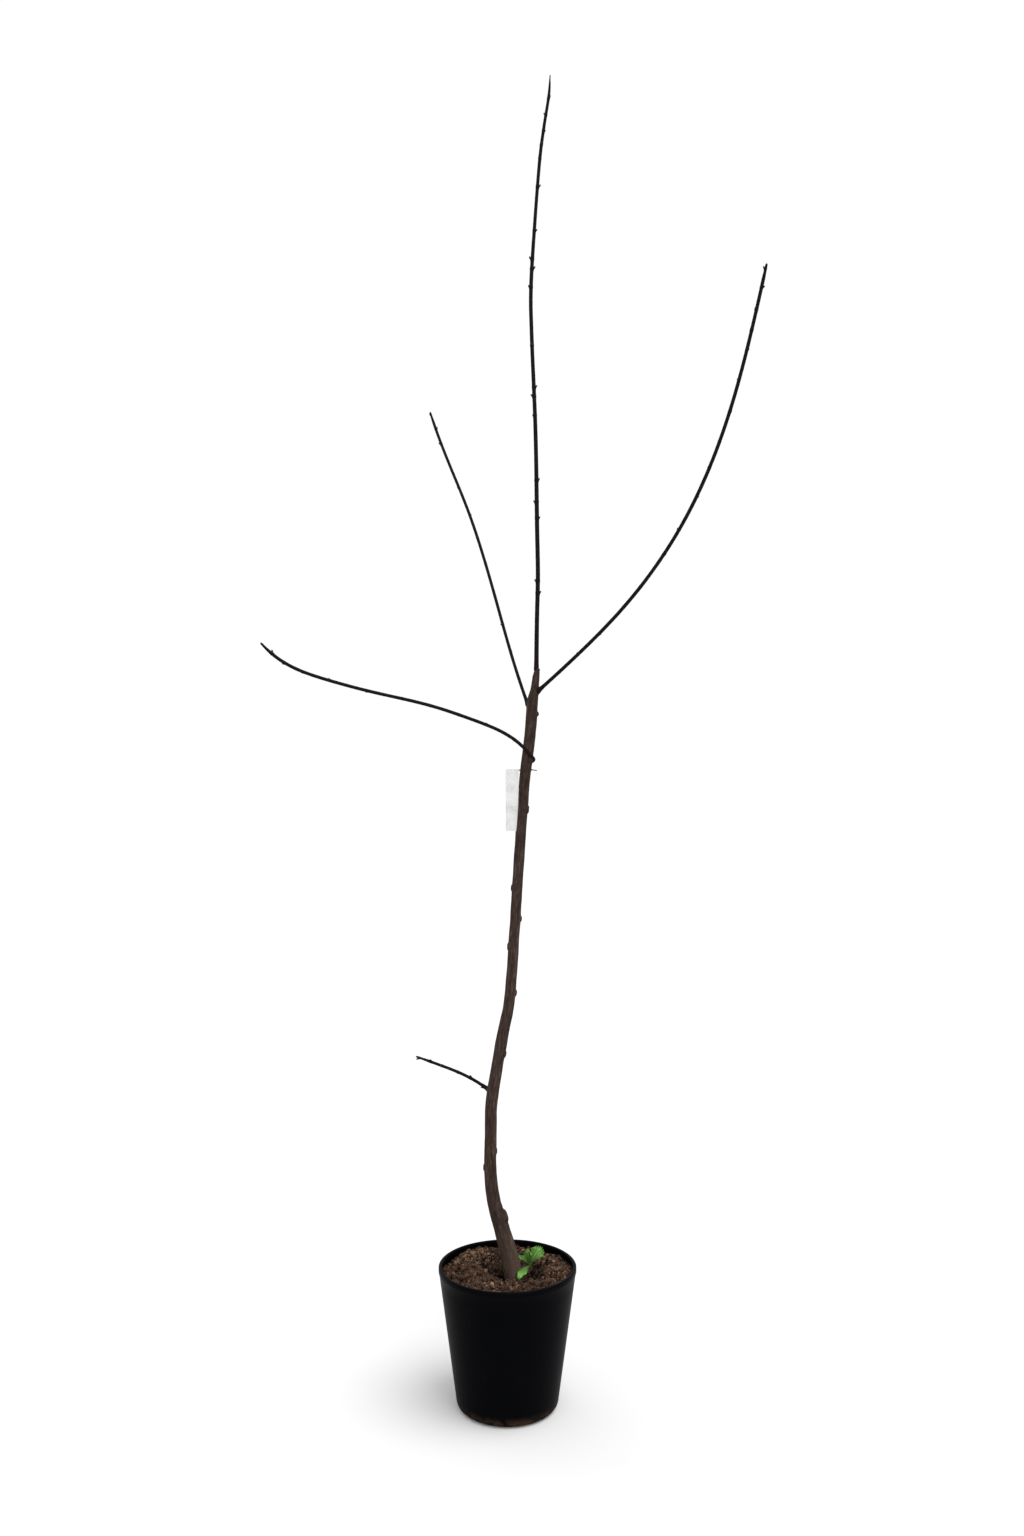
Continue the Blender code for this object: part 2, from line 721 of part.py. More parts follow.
def main():
    """Build the tree, its pot and what lies in it."""
    clear_scene()
    parts = new_collection("potted_persimmon_tree")
    cutters = new_collection("cutters", hidden=True)
    black_plastic = plain_material("black_plastic", (0.012, 0.013, 0.015), 0.42)
    mix_brown = plain_material("potting_mix", (0.15, 0.085, 0.05), 0.95)
    trunk_bark = plain_material("trunk_bark", (0.095, 0.062, 0.048), 0.85)
    bough_bark = plain_material("bough_bark", (0.028, 0.021, 0.019), 0.75)
    shoot_bark = plain_material("shoot_bark", (0.022, 0.017, 0.016), 0.7)
    leaf_green = plain_material("leaf_green", (0.11, 0.32, 0.05), 0.55)
    tag_white = plain_material("tag_white", (0.75, 0.75, 0.73), 0.5)

    trunk_line = stations_line(TRUNK_STATIONS, TRUNK_SPAN_STEPS)
    leader_line = stations_line(LEADER_STATIONS, LEADER_SPAN_STEPS)
    limbs = (RIGHT_BOUGH, LEFT_BOUGH, LOW_BOUGH, LOW_TWIG)
    make_trunk(trunk_line, limbs, parts, trunk_bark)
    trunk_cutter = grown_copy(parts.objects["trunk"], CUTTER_GROWTH, cutters)

    make_pot(parts, cutters, black_plastic)
    make_mix(parts, mix_brown, trunk_cutter)

    leader_foot = leader_line[0][0] - Vector((0.0, 0.0, 0.004))
    leader_line.insert(0, (leader_foot, leader_line[0][1]))
    shoot_line = make_bough(
        "leader", leader_line, LEADER_SHOOT_LENGTH, parts, bough_bark, trunk_cutter
    )
    make_shoot("leader_shoot", shoot_line, BUD_SEED, parts, shoot_bark)
    for index, (name, limb) in enumerate(
        (("right", RIGHT_BOUGH), ("left", LEFT_BOUGH), ("low", LOW_BOUGH))
    ):
        line = limb_line(limb, trunk_line)
        shoot_line = make_bough(f"{name}_bough", line, limb.shoot, parts, bough_bark, trunk_cutter)
        make_shoot(f"{name}_shoot", shoot_line, BUD_SEED + index + 1, parts, shoot_bark)
    twig_line = limb_line(LOW_TWIG, trunk_line)
    make_shoot("low_twig", twig_line, BUD_SEED + 4, parts, shoot_bark, trunk_cutter)
    make_sprout(parts, leaf_green)
    make_tag(trunk_line, parts, tag_white, trunk_cutter)


main()
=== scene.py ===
"""Looks of a young persimmon tree in a round black nursery pot, bare in its winter rest.

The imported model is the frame. Each piece lies where its node lies and is made again with a finer
skin: bark with its scars, shoots with their buds, crumbly potting mix, toothed leaves. To match the
photograph, the limbs are thicker than their solids, by up to 1.8 mm all round near their tips, the
left bough is 5 mm shorter and the leaves are a little larger. Metres, +Z up. Bearings are degrees
round +Z from +X, so -90 is towards the viewer.
"""

import json
import math
import random
from collections import namedtuple

import bmesh
import bpy
import numpy as np
from mathutils import Euler, Matrix, Vector, noise

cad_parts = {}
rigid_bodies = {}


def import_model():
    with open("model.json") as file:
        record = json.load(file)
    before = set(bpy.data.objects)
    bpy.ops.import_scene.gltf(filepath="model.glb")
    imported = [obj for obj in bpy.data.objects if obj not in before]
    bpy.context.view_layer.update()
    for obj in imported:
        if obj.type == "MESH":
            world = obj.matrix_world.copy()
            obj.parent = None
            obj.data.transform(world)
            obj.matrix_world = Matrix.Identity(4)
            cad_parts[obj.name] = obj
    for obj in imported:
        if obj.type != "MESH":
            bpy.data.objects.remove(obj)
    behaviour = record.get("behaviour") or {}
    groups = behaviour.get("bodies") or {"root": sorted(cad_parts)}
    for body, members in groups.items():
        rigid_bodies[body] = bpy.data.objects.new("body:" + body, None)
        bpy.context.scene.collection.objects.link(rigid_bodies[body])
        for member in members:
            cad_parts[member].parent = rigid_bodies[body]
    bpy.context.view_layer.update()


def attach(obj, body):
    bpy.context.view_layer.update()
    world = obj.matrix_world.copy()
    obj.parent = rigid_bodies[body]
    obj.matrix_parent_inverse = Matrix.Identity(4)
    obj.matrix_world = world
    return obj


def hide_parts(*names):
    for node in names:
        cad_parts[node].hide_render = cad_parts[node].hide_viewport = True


bl_info = {
    "name": "Potted persimmon tree",
    "version": (1, 0, 0),
    "blender": (4, 5, 0),
    "location": "View3D > Sidebar > Persimmon",
    "description": "Builds a bare young persimmon tree in its nursery pot",
    "category": "Add Mesh",
}

for startup_object in list(bpy.data.objects):
    bpy.data.objects.remove(startup_object, do_unlink=True)
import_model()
BODY = "root"
UP = Vector((0.0, 0.0, 1.0))
WELD_DISTANCE = 1e-6
ANY_TURN = (0, 6.3)

# Camera at the photograph's viewing angle: level, a little to the right of the pot's middle
FRAME_HEIGHT = 1536
FOCAL_PIXELS = 1260
SENSOR = 36.0
CAMERA_PLACE = (0.0085, -2.38, 1.200)

# Pot
POT_HEIGHT = 0.262
POT_RIM_RADIUS = 0.130
POT_RIM_WIDTH = 0.0068
POT_RIM_DROP = 0.010
POT_RIM_STEP = 0.0009
POT_RIM_ROUND = 0.0026
POT_FOOT_RADIUS = 0.0948
POT_FOOT_ROUND = 0.014
POT_WALL = 0.0022
POT_STEPS = 200
POT_WALL_START = 0.03
POT_BASE_HOLLOW = 0.0004
DRAIN_COUNT = 8
DRAIN_RADIUS = 0.0065
DRAIN_CIRCLE = 0.058

# Potting mix, with its mounds and hollows as (x, y, spread, height), the small hollows that only
# this script has, and how much drier it is in places, with painted shade that darkens two deep
# hollows
MIX_LEVEL = 0.2475
MIX_LUMP = 0.0032
MIX_LUMP_SPACING = 0.020
MIX_CLOD_RISE = 0.0018
MIX_SMALL_RISE = 0.0011
MIX_GAP_DEPTH = 0.0030
MIX_RINGS = 120
MIX_STEPS = 400
MIX_CLOD_SCALE = 105
MIX_FORMS = (
    (-0.060, 0.084, 0.026, 0.0085),
    (0.012, 0.100, 0.024, 0.0060),
    (0.085, 0.045, 0.024, 0.0040),
    (-0.012, 0.000, 0.014, -0.0060),
    (0.051, -0.006, 0.012, -0.0090),
    (0.018, -0.012, 0.028, -0.0075),
    (-0.070, -0.030, 0.030, 0.0025),
)
MIX_HOLLOWS = (
    (-0.015, 0.006, 0.0085, -0.0060),
    (-0.006, -0.012, 0.0080, -0.0040),
    (0.052, -0.008, 0.0085, -0.0080),
    (0.066, 0.020, 0.0090, -0.0030),
    (-0.045, 0.030, 0.0100, -0.0035),
    (-0.030, 0.060, 0.0080, -0.0030),
    (-0.088, 0.004, 0.0090, -0.0025),
    (0.030, -0.060, 0.0100, -0.0020),
)
MIX_DRY_AND_SHADED_PLACES = (
    (-0.062, 0.070, 0.034, 0.22),
    (0.082, 0.050, 0.030, 0.20),
    # The last two darken the loose bits in the deep hollows with painted shade.
    (0.048, -0.006, 0.016, -0.30),
    (-0.012, 0.000, 0.014, -0.35),
)
MIX_EDGE_HEIGHT = POT_HEIGHT - POT_RIM_DROP - 0.0045
MIX_CLEAR = POT_WALL + 0.0003
MIX_SHOULDER = 0.012
LOOSE_RADIUS = 0.119
FIBRE_RADIUS = 0.1225
TRUNK_FOOT = (0.0105, 0.0060)
TRUNK_FOOT_RADIUS = 0.0185

# Trunk stations as (height, x, y, radius), from its flat cut in the mix to its pruned top
TRUNK_STATIONS = (
    (0.236, 0.0122, 0.0060, 0.0176),
    (0.276, 0.0036, 0.0060, 0.0160),
    (0.321, -0.0087, 0.0055, 0.0150),
    (0.382, -0.0261, 0.0040, 0.0130),
    (0.443, -0.0324, 0.0025, 0.0117),
    (0.504, -0.0316, 0.0020, 0.0113),
    (0.565, -0.0302, 0.0020, 0.0114),
    (0.625, -0.0213, 0.0025, 0.0112),
    (0.701, -0.0081, 0.0040, 0.0110),
    (0.761, 0.0038, 0.0050, 0.0104),
    (0.882, 0.0127, 0.0080, 0.0100),
    (1.018, 0.0214, 0.0110, 0.0100),
    (1.169, 0.0318, 0.0105, 0.0104),
    (1.260, 0.0424, 0.0080, 0.0107),
    (1.320, 0.0469, 0.0060, 0.0104),
    (1.350, 0.0514, 0.0055, 0.0078),
    (1.388, 0.0552, 0.0050, 0.0061),
)

# Old bud scars and pruned spurs on the trunk as (height, bearing, half height, how far out)
TRUNK_KNOTS = (
    (0.350, -12.0, 0.0135, 0.0052),
    (0.445, 176.0, 0.0070, 0.0022),
    (0.476, 8.0, 0.0070, 0.0022),
    (0.661, -20.0, 0.0075, 0.0030),
    (0.775, 5.0, 0.0070, 0.0030),
    (0.861, 178.0, 0.0080, 0.0024),
    (0.915, -8.0, 0.0060, 0.0030),
    (0.972, 172.0, 0.0075, 0.0024),
    (1.122, -6.0, 0.0085, 0.0032),
    (1.303, -10.0, 0.0050, 0.0038),
)

# How far the trunk's bark stands out: slow swellings, the wrinkles, flakes and lobes of its foot,
# and the slope of its pruned top
TRUNK_SWELL = 0.00045
FOOT_WRINKLE = 0.0006
FOOT_FLAKE = 0.0011
FOOT_LOBE = 0.0013
FOOT_LOBE_HEIGHT = 0.012
FLAKY_FOOT = (0.262, 0.340)
PALE_FOOT = (0.262, 0.345)
TOP_SLOPE = 0.0021
TOP_SLOPE_HEIGHTS = (1.370, 1.387)

# Leader stations as (height, x, y, radius), from the pruned top to the tree's highest bud
LEADER_STATIONS = (
    (1.388, 0.0546, 0.005, 0.0040),
    (1.476, 0.0557, 0.009, 0.0037),
    (1.567, 0.0577, 0.013, 0.0037),
    (1.658, 0.0562, 0.016, 0.0037),
    (1.841, 0.0533, 0.021, 0.0034),
    (2.025, 0.0460, 0.022, 0.0032),
    (2.116, 0.0447, 0.020, 0.0032),
    (2.236, 0.0518, 0.016, 0.0028),
    (2.352, 0.0610, 0.007, 0.0027),
    (2.411, 0.0688, 0.001, 0.0025),
    (2.467, 0.0778, -0.005, 0.0022),
    (2.505, 0.0803, -0.009, 0.0010),
)
LEADER_SHOOT_LENGTH = 0.170
LEADER_SEED = 7
LEADER_BARK = 0.0005
LEADER_SINK = 0.004
LEADER_FLARE = 0.08

# Buds and spurs on the leader as (height, bearing, size)
LEADER_BUDS = (
    (1.532, -8.0, 1.0),
    (1.555, 186.0, 1.0),
    (1.675, 4.0, 0.9),
    (1.706, 172.0, 1.0),
    (1.748, -14.0, 1.0),
    (1.871, 195.0, 0.7),
    (1.909, 178.0, 1.1),
    (1.926, -2.0, 1.1),
    (2.006, -95.0, 1.0),
    (2.116, 190.0, 0.9),
    (2.151, -6.0, 1.2),
    (2.169, 176.0, 1.2),
    (2.222, 12.0, 1.0),
    (2.303, -10.0, 1.1),
)

# A limb leaves the trunk at a height, on one side of it and this many trunk radii out from its
# middle, and heads off on its own bearing, which drifts by the turn. Its elevations, in degrees,
# are spaced evenly from root to tip. The shoot is how much of its length grew last season.
Limb = namedtuple(
    "Limb",
    "height side stand_off bearing turn elevations length root_radius tip_radius shoot seed",
)
ON_SKIN = 0.92
RIGHT_BOUGH = Limb(
    height=1.3449, side=-32, stand_off=ON_SKIN, bearing=-32, turn=-6,
    elevations=(36, 40, 51, 64, 73, 76),
    length=0.869, root_radius=0.0035, tip_radius=0.0031, shoot=0.128, seed=8,
)
LEFT_BOUGH = Limb(
    height=1.3211, side=158, stand_off=ON_SKIN, bearing=138.5, turn=0,
    elevations=(65, 70, 68, 62, 67),
    length=0.659, root_radius=0.0031, tip_radius=0.0029, shoot=0.096, seed=9,
)
LOW_BOUGH = Limb(
    height=1.2174, side=-45, stand_off=1.5, bearing=198, turn=8,
    elevations=(53, 23, 17, 11, 13, 19, 47),
    length=0.562, root_radius=0.0033, tip_radius=0.0030, shoot=0.072, seed=10,
)
LOW_TWIG = Limb(
    height=0.5916, side=160, stand_off=ON_SKIN, bearing=160, turn=0,
    elevations=(31, 16, 14),
    length=0.159, root_radius=0.0031, tip_radius=0.0027, shoot=0.159, seed=11,
)
LIMBS = (RIGHT_BOUGH, LEFT_BOUGH, LOW_BOUGH, LOW_TWIG)
LINE_STEP = 0.002
TRUNK_SPACING = 0.0017
TRUNK_SIDES = 64
LIMB_SPACING = 0.0014
LIMB_SIDES = 20
ROOT_STEPS = 8
ROOT_DROP = 0.004
ROOT_BEND = 0.004
ROOT_FLARE = 0.6
SHOOT_OVERLAP = 0.0006
BOUGH_GRAIN = 0.00010
SHOOT_GRAIN = 0.00007
TIP_TAPER_LENGTH = 0.030
TIP_TAPER = 0.34

# Side buds on the shoots
BUD_LENGTH = 0.0062
BUD_RADIUS = 0.0019
BUD_SPACING = 0.030
BUD_SPIRAL = 144.0
OLD_BUD_SPACING = 0.058

# Sprout of young leaves at the trunk's foot, round a short stem. A leaf heads off on a bearing,
# rises and droops by so many degrees, and is rolled about its own length.
Leaf = namedtuple("Leaf", "bearing rise droop roll length width")
SPROUT_ROOT = (0.0427, 0.0240)
SPROUT_STEM_RADIUS = 0.0022
SPROUT_STEM_LENGTH = 0.008
SPROUT_FOOT_RADIUS = 0.0026
SPROUT_LEAVES = (
    Leaf(bearing=26, rise=58, droop=10, roll=70, length=0.039, width=0.031),
    Leaf(bearing=150, rise=76, droop=-6, roll=-100, length=0.030, width=0.022),
    Leaf(bearing=247, rise=3, droop=9, roll=0, length=0.060, width=0.020),
    Leaf(bearing=165, rise=54, droop=16, roll=-60, length=0.030, width=0.010),
)
LEAF_THICKNESS = 0.0005
LEAF_COLUMNS = 32
LEAF_ROWS = 32

# Blank tag on a tie round the trunk
TIE_HEIGHT = 1.1960
TIE_WIDTH = 0.0045
TIE_THICKNESS = 0.0011
TIE_TAIL = 0.011
TIE_STEPS = 72
TAG_WIDTH = 0.0250
TAG_LENGTH = 0.1180
TAG_THICKNESS = 0.0009
TAG_CLEAR = 0.0032
TAG_SWING = 9.0
TAG_CORNER = 0.003

# Studio: half the floor's side, and the lights as name, way they come from, how many degrees wide
# they are, and share of the main light's strength
FLOOR_REACH = 40.0
LIGHTS = (
    ("main_light", (0.36, -0.20, 0.92), 44.0, 1.0),
    ("front_light", (0.20, -0.90, 0.42), 40.0, 0.48),
    ("back_light", (-0.60, 0.65, 0.75), 40.0, 0.12),
)


def colour_setting(name, description, default):
    """A setting for a colour."""
    return bpy.props.FloatVectorProperty(
        name=name,
        description=description,
        subtype="COLOR",
        size=3,
        min=0.0,
        max=1.0,
        default=default,
    )


def share_setting(name, description, default, most=1.0):
    """A setting for a share, from 0 to the most it may be."""
    return bpy.props.FloatProperty(
        name=name,
        description=description,
        subtype="FACTOR",
        min=0.0,
        max=most,
        default=default,
    )


def strength_setting(name, description, default, most):
    """A setting for the strength of a light."""
    return bpy.props.FloatProperty(
        name=name, description=description, min=0.0, max=most, default=default
    )


def count_setting(name, description, default, most):
    """A setting for how many bits there are."""
    return bpy.props.IntProperty(
        name=name, description=description, min=0, max=most, default=default
    )


class PotSettings(bpy.types.PropertyGroup):
    """Finish of the black pot."""

    plastic: colour_setting("Plastic", "Colour of the moulded plastic", (0.0009, 0.0010, 0.0015))
    roughness: share_setting("Roughness", "How dull the plastic is", 0.44)
    dirt: share_setting("Dirt", "How much dry mix sticks along the foot", 0.7)


class MixSettings(bpy.types.PropertyGroup):
    """Finish of the potting mix and what lies loose on it."""

    # The darkest tone of the mix, and the painted shade in its gaps and hollows.
    dark: colour_setting("Dark mix and painted shade", "Colour of the mix in its hollows", (0.0080, 0.0048, 0.0036))
    middle: colour_setting("Mix", "Main colour of the mix", (0.058, 0.0335, 0.0210))
    pale: colour_setting("Dry bits", "Colour of the driest bits", (0.165, 0.102, 0.066))
    clods: count_setting("Clods", "How many clods lie on the mix", 640, 2000)
    crumbs: count_setting("Crumbs", "How many crumbs lie on the mix", 3600, 8000)
    fibres: count_setting("Fibres", "How many coir fibres lie on the mix", 1500, 3000)
    chips: count_setting("Chips", "How many bark chips lie on the mix", 620, 2000)


class BarkSettings(bpy.types.PropertyGroup):
    """Finish and relief of the bark."""

    relief: bpy.props.FloatProperty(
        name="Relief",
        description="How far the trunk's ridges stand out",
        unit="LENGTH",
        min=0.0,
        max=0.003,
        default=0.00042,
    )
    trunk: colour_setting("Trunk", "Main colour of the trunk", (0.030, 0.0190, 0.0152))
    streak: colour_setting("Streaks", "Colour of its lighter streaks", (0.080, 0.054, 0.041))
    bough: colour_setting("Boughs", "Colour of leader and boughs", (0.0058, 0.0043, 0.0040))
    shoot: colour_setting("Shoots", "Colour of last season's shoots", (0.0052, 0.0037, 0.0034))


class LeafSettings(bpy.types.PropertyGroup):
    """Finish and outline of the sprout's leaves."""

    blade: colour_setting("Blade", "Main colour of the leaves", (0.080, 0.205, 0.028))
    shade: colour_setting("Shaded green", "Colour of folds and roots", (0.018, 0.055, 0.008))
    tooth: share_setting("Teeth", "How deep the teeth cut, as a share of the width", 0.20, 0.6)


class TagSettings(bpy.types.PropertyGroup):
    """Finish of the blank tag."""

    face: colour_setting("Tag", "Colour of the tag", (0.56, 0.56, 0.55))


class StudioSettings(bpy.types.PropertyGroup):
    """Floor and lights."""

    floor: colour_setting("Floor", "Colour of the floor", (0.58, 0.58, 0.58))
    sky: strength_setting("Surround", "Strength of the even light all round", 1.03, 5.0)
    key: strength_setting("Main light", "Strength of the light above on the right", 2.2, 20.0)


class Number:
    """A number that changes over a surface. A sum of such numbers is made of Math nodes."""

    def __init__(self, finish, socket):
        self.finish = finish
        self.socket = socket

    def __add__(self, other):
        return self.finish.maths("ADD", self, other)

    def __sub__(self, other):
        return self.finish.maths("SUBTRACT", self, other)

    def __rsub__(self, other):
        return self.finish.maths("SUBTRACT", other, self)

    def __mul__(self, other):
        return self.finish.maths("MULTIPLY", self, other)

    __radd__ = __add__
    __rmul__ = __mul__


class Finish:
    """One material, and the few kinds of node that its pattern is made from."""

    def __init__(self, name, roughness=0.8, specular=0.3):
        self.material = bpy.data.materials.new(name)
        self.material.use_nodes = True
        self.tree = self.material.node_tree
        self.shader = self.tree.nodes["Principled BSDF"]
        self.shader.inputs["Roughness"].default_value = roughness
        self.shader.inputs["Specular IOR Level"].default_value = specular

    def node(self, kind, settings, sockets):
        """A node of a kind: its settings first, then its sockets' values or links."""
        made = self.tree.nodes.new(kind)
        for name, value in settings.items():
            if name == "stops":
                set_stops(made.color_ramp, value)
            else:
                setattr(made, name, value)
        for name, value in sockets.items():
            self.feed(made.inputs[name], value)
        return made

    def feed(self, socket, value):
        """Link a value to a socket, or set the socket to it."""
        if isinstance(value, Number):
            value = value.socket
        if isinstance(value, bpy.types.NodeSocket):
            self.tree.links.new(value, socket)
        else:
            socket.default_value = value

    def maths(self, operation, *values):
        made = self.node("ShaderNodeMath", {"operation": operation}, dict(enumerate(values)))
        return Number(self, made.outputs[0])

    def place(self):
        """The place in the object's own frame."""
        return self.node("ShaderNodeTexCoord", {}, {}).outputs["Object"]

    def height(self):
        """The height above the ground."""
        split = self.node("ShaderNodeSeparateXYZ", {}, {0: self.place()})
        return Number(self, split.outputs[2])

    def attribute(self, name):
        """A number kept on the mesh."""
        made = self.node("ShaderNodeAttribute", {"attribute_name": name}, {})
        return Number(self, made.outputs["Fac"])

    def blade_place(self):
        """Across and along a leaf, each from 0 to 1."""
        uv = self.node("ShaderNodeUVMap", {"uv_map": "surface"}, {}).outputs[0]
        split = self.node("ShaderNodeSeparateXYZ", {}, {0: uv})
        return Number(self, split.outputs[0]), Number(self, split.outputs[1])

    def limb_place(self, stretch):
        """A place on a limb's skin with no seam: round a circle, and along by its length."""
        uv = self.node("ShaderNodeUVMap", {"uv_map": "surface"}, {}).outputs[0]
        split = self.node("ShaderNodeSeparateXYZ", {}, {0: uv})
        turn = Number(self, split.outputs[0]) * (2 * math.pi)
        along = Number(self, split.outputs[1]) * stretch
        across = self.maths("COSINE", turn)
        deep = self.maths("SINE", turn)
        made = self.node("ShaderNodeCombineXYZ", {}, {0: across, 1: deep, 2: along})
        return made.outputs[0]

    def cloud(self, place, scale, detail=4.0, rough=0.55):
        """Soft noise from 0 to 1."""
        sockets = {"Vector": place, "Scale": scale, "Detail": detail, "Roughness": rough}
        return Number(self, self.node("ShaderNodeTexNoise", {}, sockets).outputs[0])

    def cells(self, place, scale):
        """Distance from the middle of the nearest cell in a pattern of cells."""
        made = self.node("ShaderNodeTexVoronoi", {}, {"Vector": place, "Scale": scale})
        return Number(self, made.outputs["Distance"])

    def between(self, number, low, high):
        """0 below the low value and 1 above the high one, with a soft step between."""
        settings = {"interpolation_type": "SMOOTHSTEP"}
        made = self.node("ShaderNodeMapRange", settings, {0: number, 1: low, 2: high})
        return Number(self, made.outputs[0])

    def mix(self, share, first, second):
        """A colour between two others."""
        sockets = {0: share, 6: paint(first), 7: paint(second)}
        return self.node("ShaderNodeMix", {"data_type": "RGBA"}, sockets).outputs[2]

    def ramp(self, number, stops):
        """A colour read from stops of (place, colour)."""
        return self.node("ShaderNodeValToRGB", {"stops": stops}, {0: number}).outputs[0]

    def surface(self, colour, roughness, height, distance):
        """Feed the shader its colour, roughness and fine relief."""
        self.feed(self.shader.inputs["Base Color"], colour)
        self.feed(self.shader.inputs["Roughness"], roughness)
        bump = self.node("ShaderNodeBump", {}, {"Distance": distance, "Height": height})
        self.feed(self.shader.inputs["Normal"], bump.outputs[0])
        return self.material


def paint(colour):
    """A plain colour with its alpha, or a linked one as it is."""
    if isinstance(colour, bpy.types.NodeSocket):
        return colour
    return (*colour, 1.0)


def set_stops(ramp, stops):
    """Give a colour ramp these stops."""
    while len(ramp.elements) < len(stops):
        ramp.elements.new(1.0)
    for element, (place, colour) in zip(ramp.elements, stops):
        element.position = place
        element.color = (*colour, 1.0)


def scaled(colour, share):
    """A colour made darker or lighter."""
    return tuple(value * share for value in colour)


def black_plastic(settings):
    """Satin black plastic, with dry mix along the foot and a little dust on it."""
    finish = Finish("satin_black_plastic", specular=0.018)
    place = finish.place()
    dust = finish.between(finish.cloud(place, 34.0, 6.0, 0.7), 0.56, 0.80)
    specks = finish.between(finish.cloud(place, 420.0, 3.0), 0.60, 0.72)
    height = finish.height()
    patches = finish.between(finish.cloud(place, 60.0, 5.0, 0.65), 0.36, 0.62)
    low = 1 - finish.between(height, 0.003, 0.024)
    line = 1 - finish.between(height, 0.0005, 0.0045)
    soil = (low * patches + line * 0.4) * settings.dirt
    plastic = finish.mix(dust * 0.10, settings.plastic, (0.010, 0.010, 0.011))
    dusted = finish.mix(specks * dust * 0.25, plastic, (0.030, 0.024, 0.019))
    colour = finish.mix(soil, dusted, (0.050, 0.028, 0.018))
    roughness = finish.cloud(place, 18.0, 5.0) * 0.10 + soil * 0.35 + (settings.roughness - 0.05)
    skin = finish.cloud(place, 900.0, 2.0) * 0.3 + finish.cloud(place, 70.0, 2.0) + soil * 2.0
    return finish.surface(colour, roughness, skin, 0.00012)


def mix_ground(settings):
    """The potting mix itself, fibrous, with painted shade that darkens it between clods and in
    hollows.
    """
    finish = Finish("potting_mix_ground", specular=0.03)
    place = finish.place()
    lumps = finish.cloud(place, 150.0, 6.0, 0.7)
    broad = finish.cloud(place, 36.0, 3.0)
    grain = finish.cloud(place, 620.0, 4.0, 0.65)
    # The gap attribute lowers the tone: painted shade between the clods and in the hollows, down to
    # the darkest stop.
    tone = lumps * 0.55 + broad * 0.35 + grain * 0.30 - finish.attribute("gap") * 0.48
    stops = (
        (0.30, scaled(settings.dark, 0.35)),
        (0.46, settings.dark),
        (0.58, scaled(settings.middle, 0.80)),
        (0.66, settings.middle),
        (0.78, settings.pale),
    )
    colour = finish.ramp(tone, stops)
    height = lumps + grain * 0.5 - finish.cells(place, 300.0) * 0.6
    return finish.surface(colour, grain * 0.1 + 0.88, height, 0.0016)


def loose_mix(settings, name, shift):
    """Clods, crumbs, fibres or chips, each with its own tone from dark to dry, with painted shade
    where they lie low.
    """
    finish = Finish(name, specular=0.04)
    place = finish.place()
    tone = finish.attribute("tone") * 0.8 + finish.cloud(place, 380.0, 4.0, 0.6) * 0.45 + shift
    stops = (
        (0.10, scaled(settings.dark, 0.9)),
        (0.38, scaled(settings.middle, 0.70)),
        (0.62, settings.middle),
        (0.84, settings.pale),
        (1.00, scaled(settings.pale, 1.35)),
    )
    grain = finish.cloud(place, 1300.0, 3.0)
    return finish.surface(finish.ramp(tone, stops), grain * 0.15 + 0.78, grain, 0.0006)


def trunk_bark(settings):
    """Dark brown trunk bark: long streaks, pale pores, and a flaky lighter foot."""
    finish = Finish("persimmon_trunk_bark", specular=0.07)
    streaks = finish.cloud(finish.limb_place(15.0), 3.0, 6.0, 0.62)
    blotch = finish.cloud(finish.limb_place(9.0), 1.0, 3.0)
    fine = finish.cloud(finish.limb_place(110.0), 7.0, 5.0, 0.7)
    seams = finish.maths("ABSOLUTE", finish.cloud(finish.limb_place(13.0), 4.2, 3.0) - 0.5)
    pores = 1 - finish.between(finish.cells(finish.limb_place(140.0), 2.4), 0.05, 0.14)
    gaps = 1 - finish.between(seams, 0.0, 0.022)
    tone = streaks * 0.55 + blotch * 0.35 + fine * 0.20
    stops = (
        (0.42, scaled(settings.trunk, 0.38)),
        (0.50, scaled(settings.trunk, 0.85)),
        (0.58, scaled(settings.trunk, 1.25)),
        (0.68, settings.streak),
    )
    bark = finish.ramp(tone, stops)
    foot = 1 - finish.between(finish.height(), *PALE_FOOT)
    flaky = finish.mix(foot * fine * 0.9, bark, (0.085, 0.058, 0.041))
    furrowed = finish.mix(gaps * 0.55, flaky, scaled(settings.trunk, 0.25))
    dotted = finish.mix(pores * 0.35, furrowed, (0.080, 0.060, 0.048))
    colour = finish.mix(finish.attribute("cut"), dotted, (0.070, 0.052, 0.040))
    relief = streaks * 0.9 + fine * 0.45 + pores * 0.35 - gaps * 0.5
    return finish.surface(colour, fine * 0.16 + 0.72, relief, 0.0007)


def fine_bark(name, colour, roughness, stretch):
    """Fine dark bark of the leader, boughs and shoots, with small pale pores."""
    finish = Finish(name, specular=0.05)
    grain = finish.cloud(finish.limb_place(stretch * 0.20), 2.2, 5.0, 0.6)
    fine = finish.cloud(finish.limb_place(stretch), 6.0, 4.0, 0.65)
    pores = 1 - finish.between(finish.cells(finish.limb_place(stretch * 0.8), 1.7), 0.06, 0.15)
    light = finish.between(grain * 0.75 + fine * 0.35, 0.45, 0.80)
    bark = finish.mix(light, scaled(colour, 0.60), scaled(colour, 2.2))
    dotted = finish.mix(pores * 0.30, bark, scaled(colour, 4.0))
    relief = grain * 0.8 + fine * 0.5 + pores * 0.6
    return finish.surface(dotted, fine * 0.18 + roughness, relief, 0.00035)


def bud_scales(settings):
    """Bud scales, a shade browner than the shoot, over a pale leaf scar."""
    finish = Finish("bud_scales", specular=0.06)
    grain = finish.cloud(finish.place(), 1500.0, 3.0)
    brown = finish.mix(grain, scaled(settings.shoot, 0.9), (0.020, 0.012, 0.009))
    colour = finish.mix(finish.attribute("tone") * 0.7, brown, (0.030, 0.022, 0.018))
    return finish.surface(colour, grain * 0.2 + 0.5, grain, 0.0003)


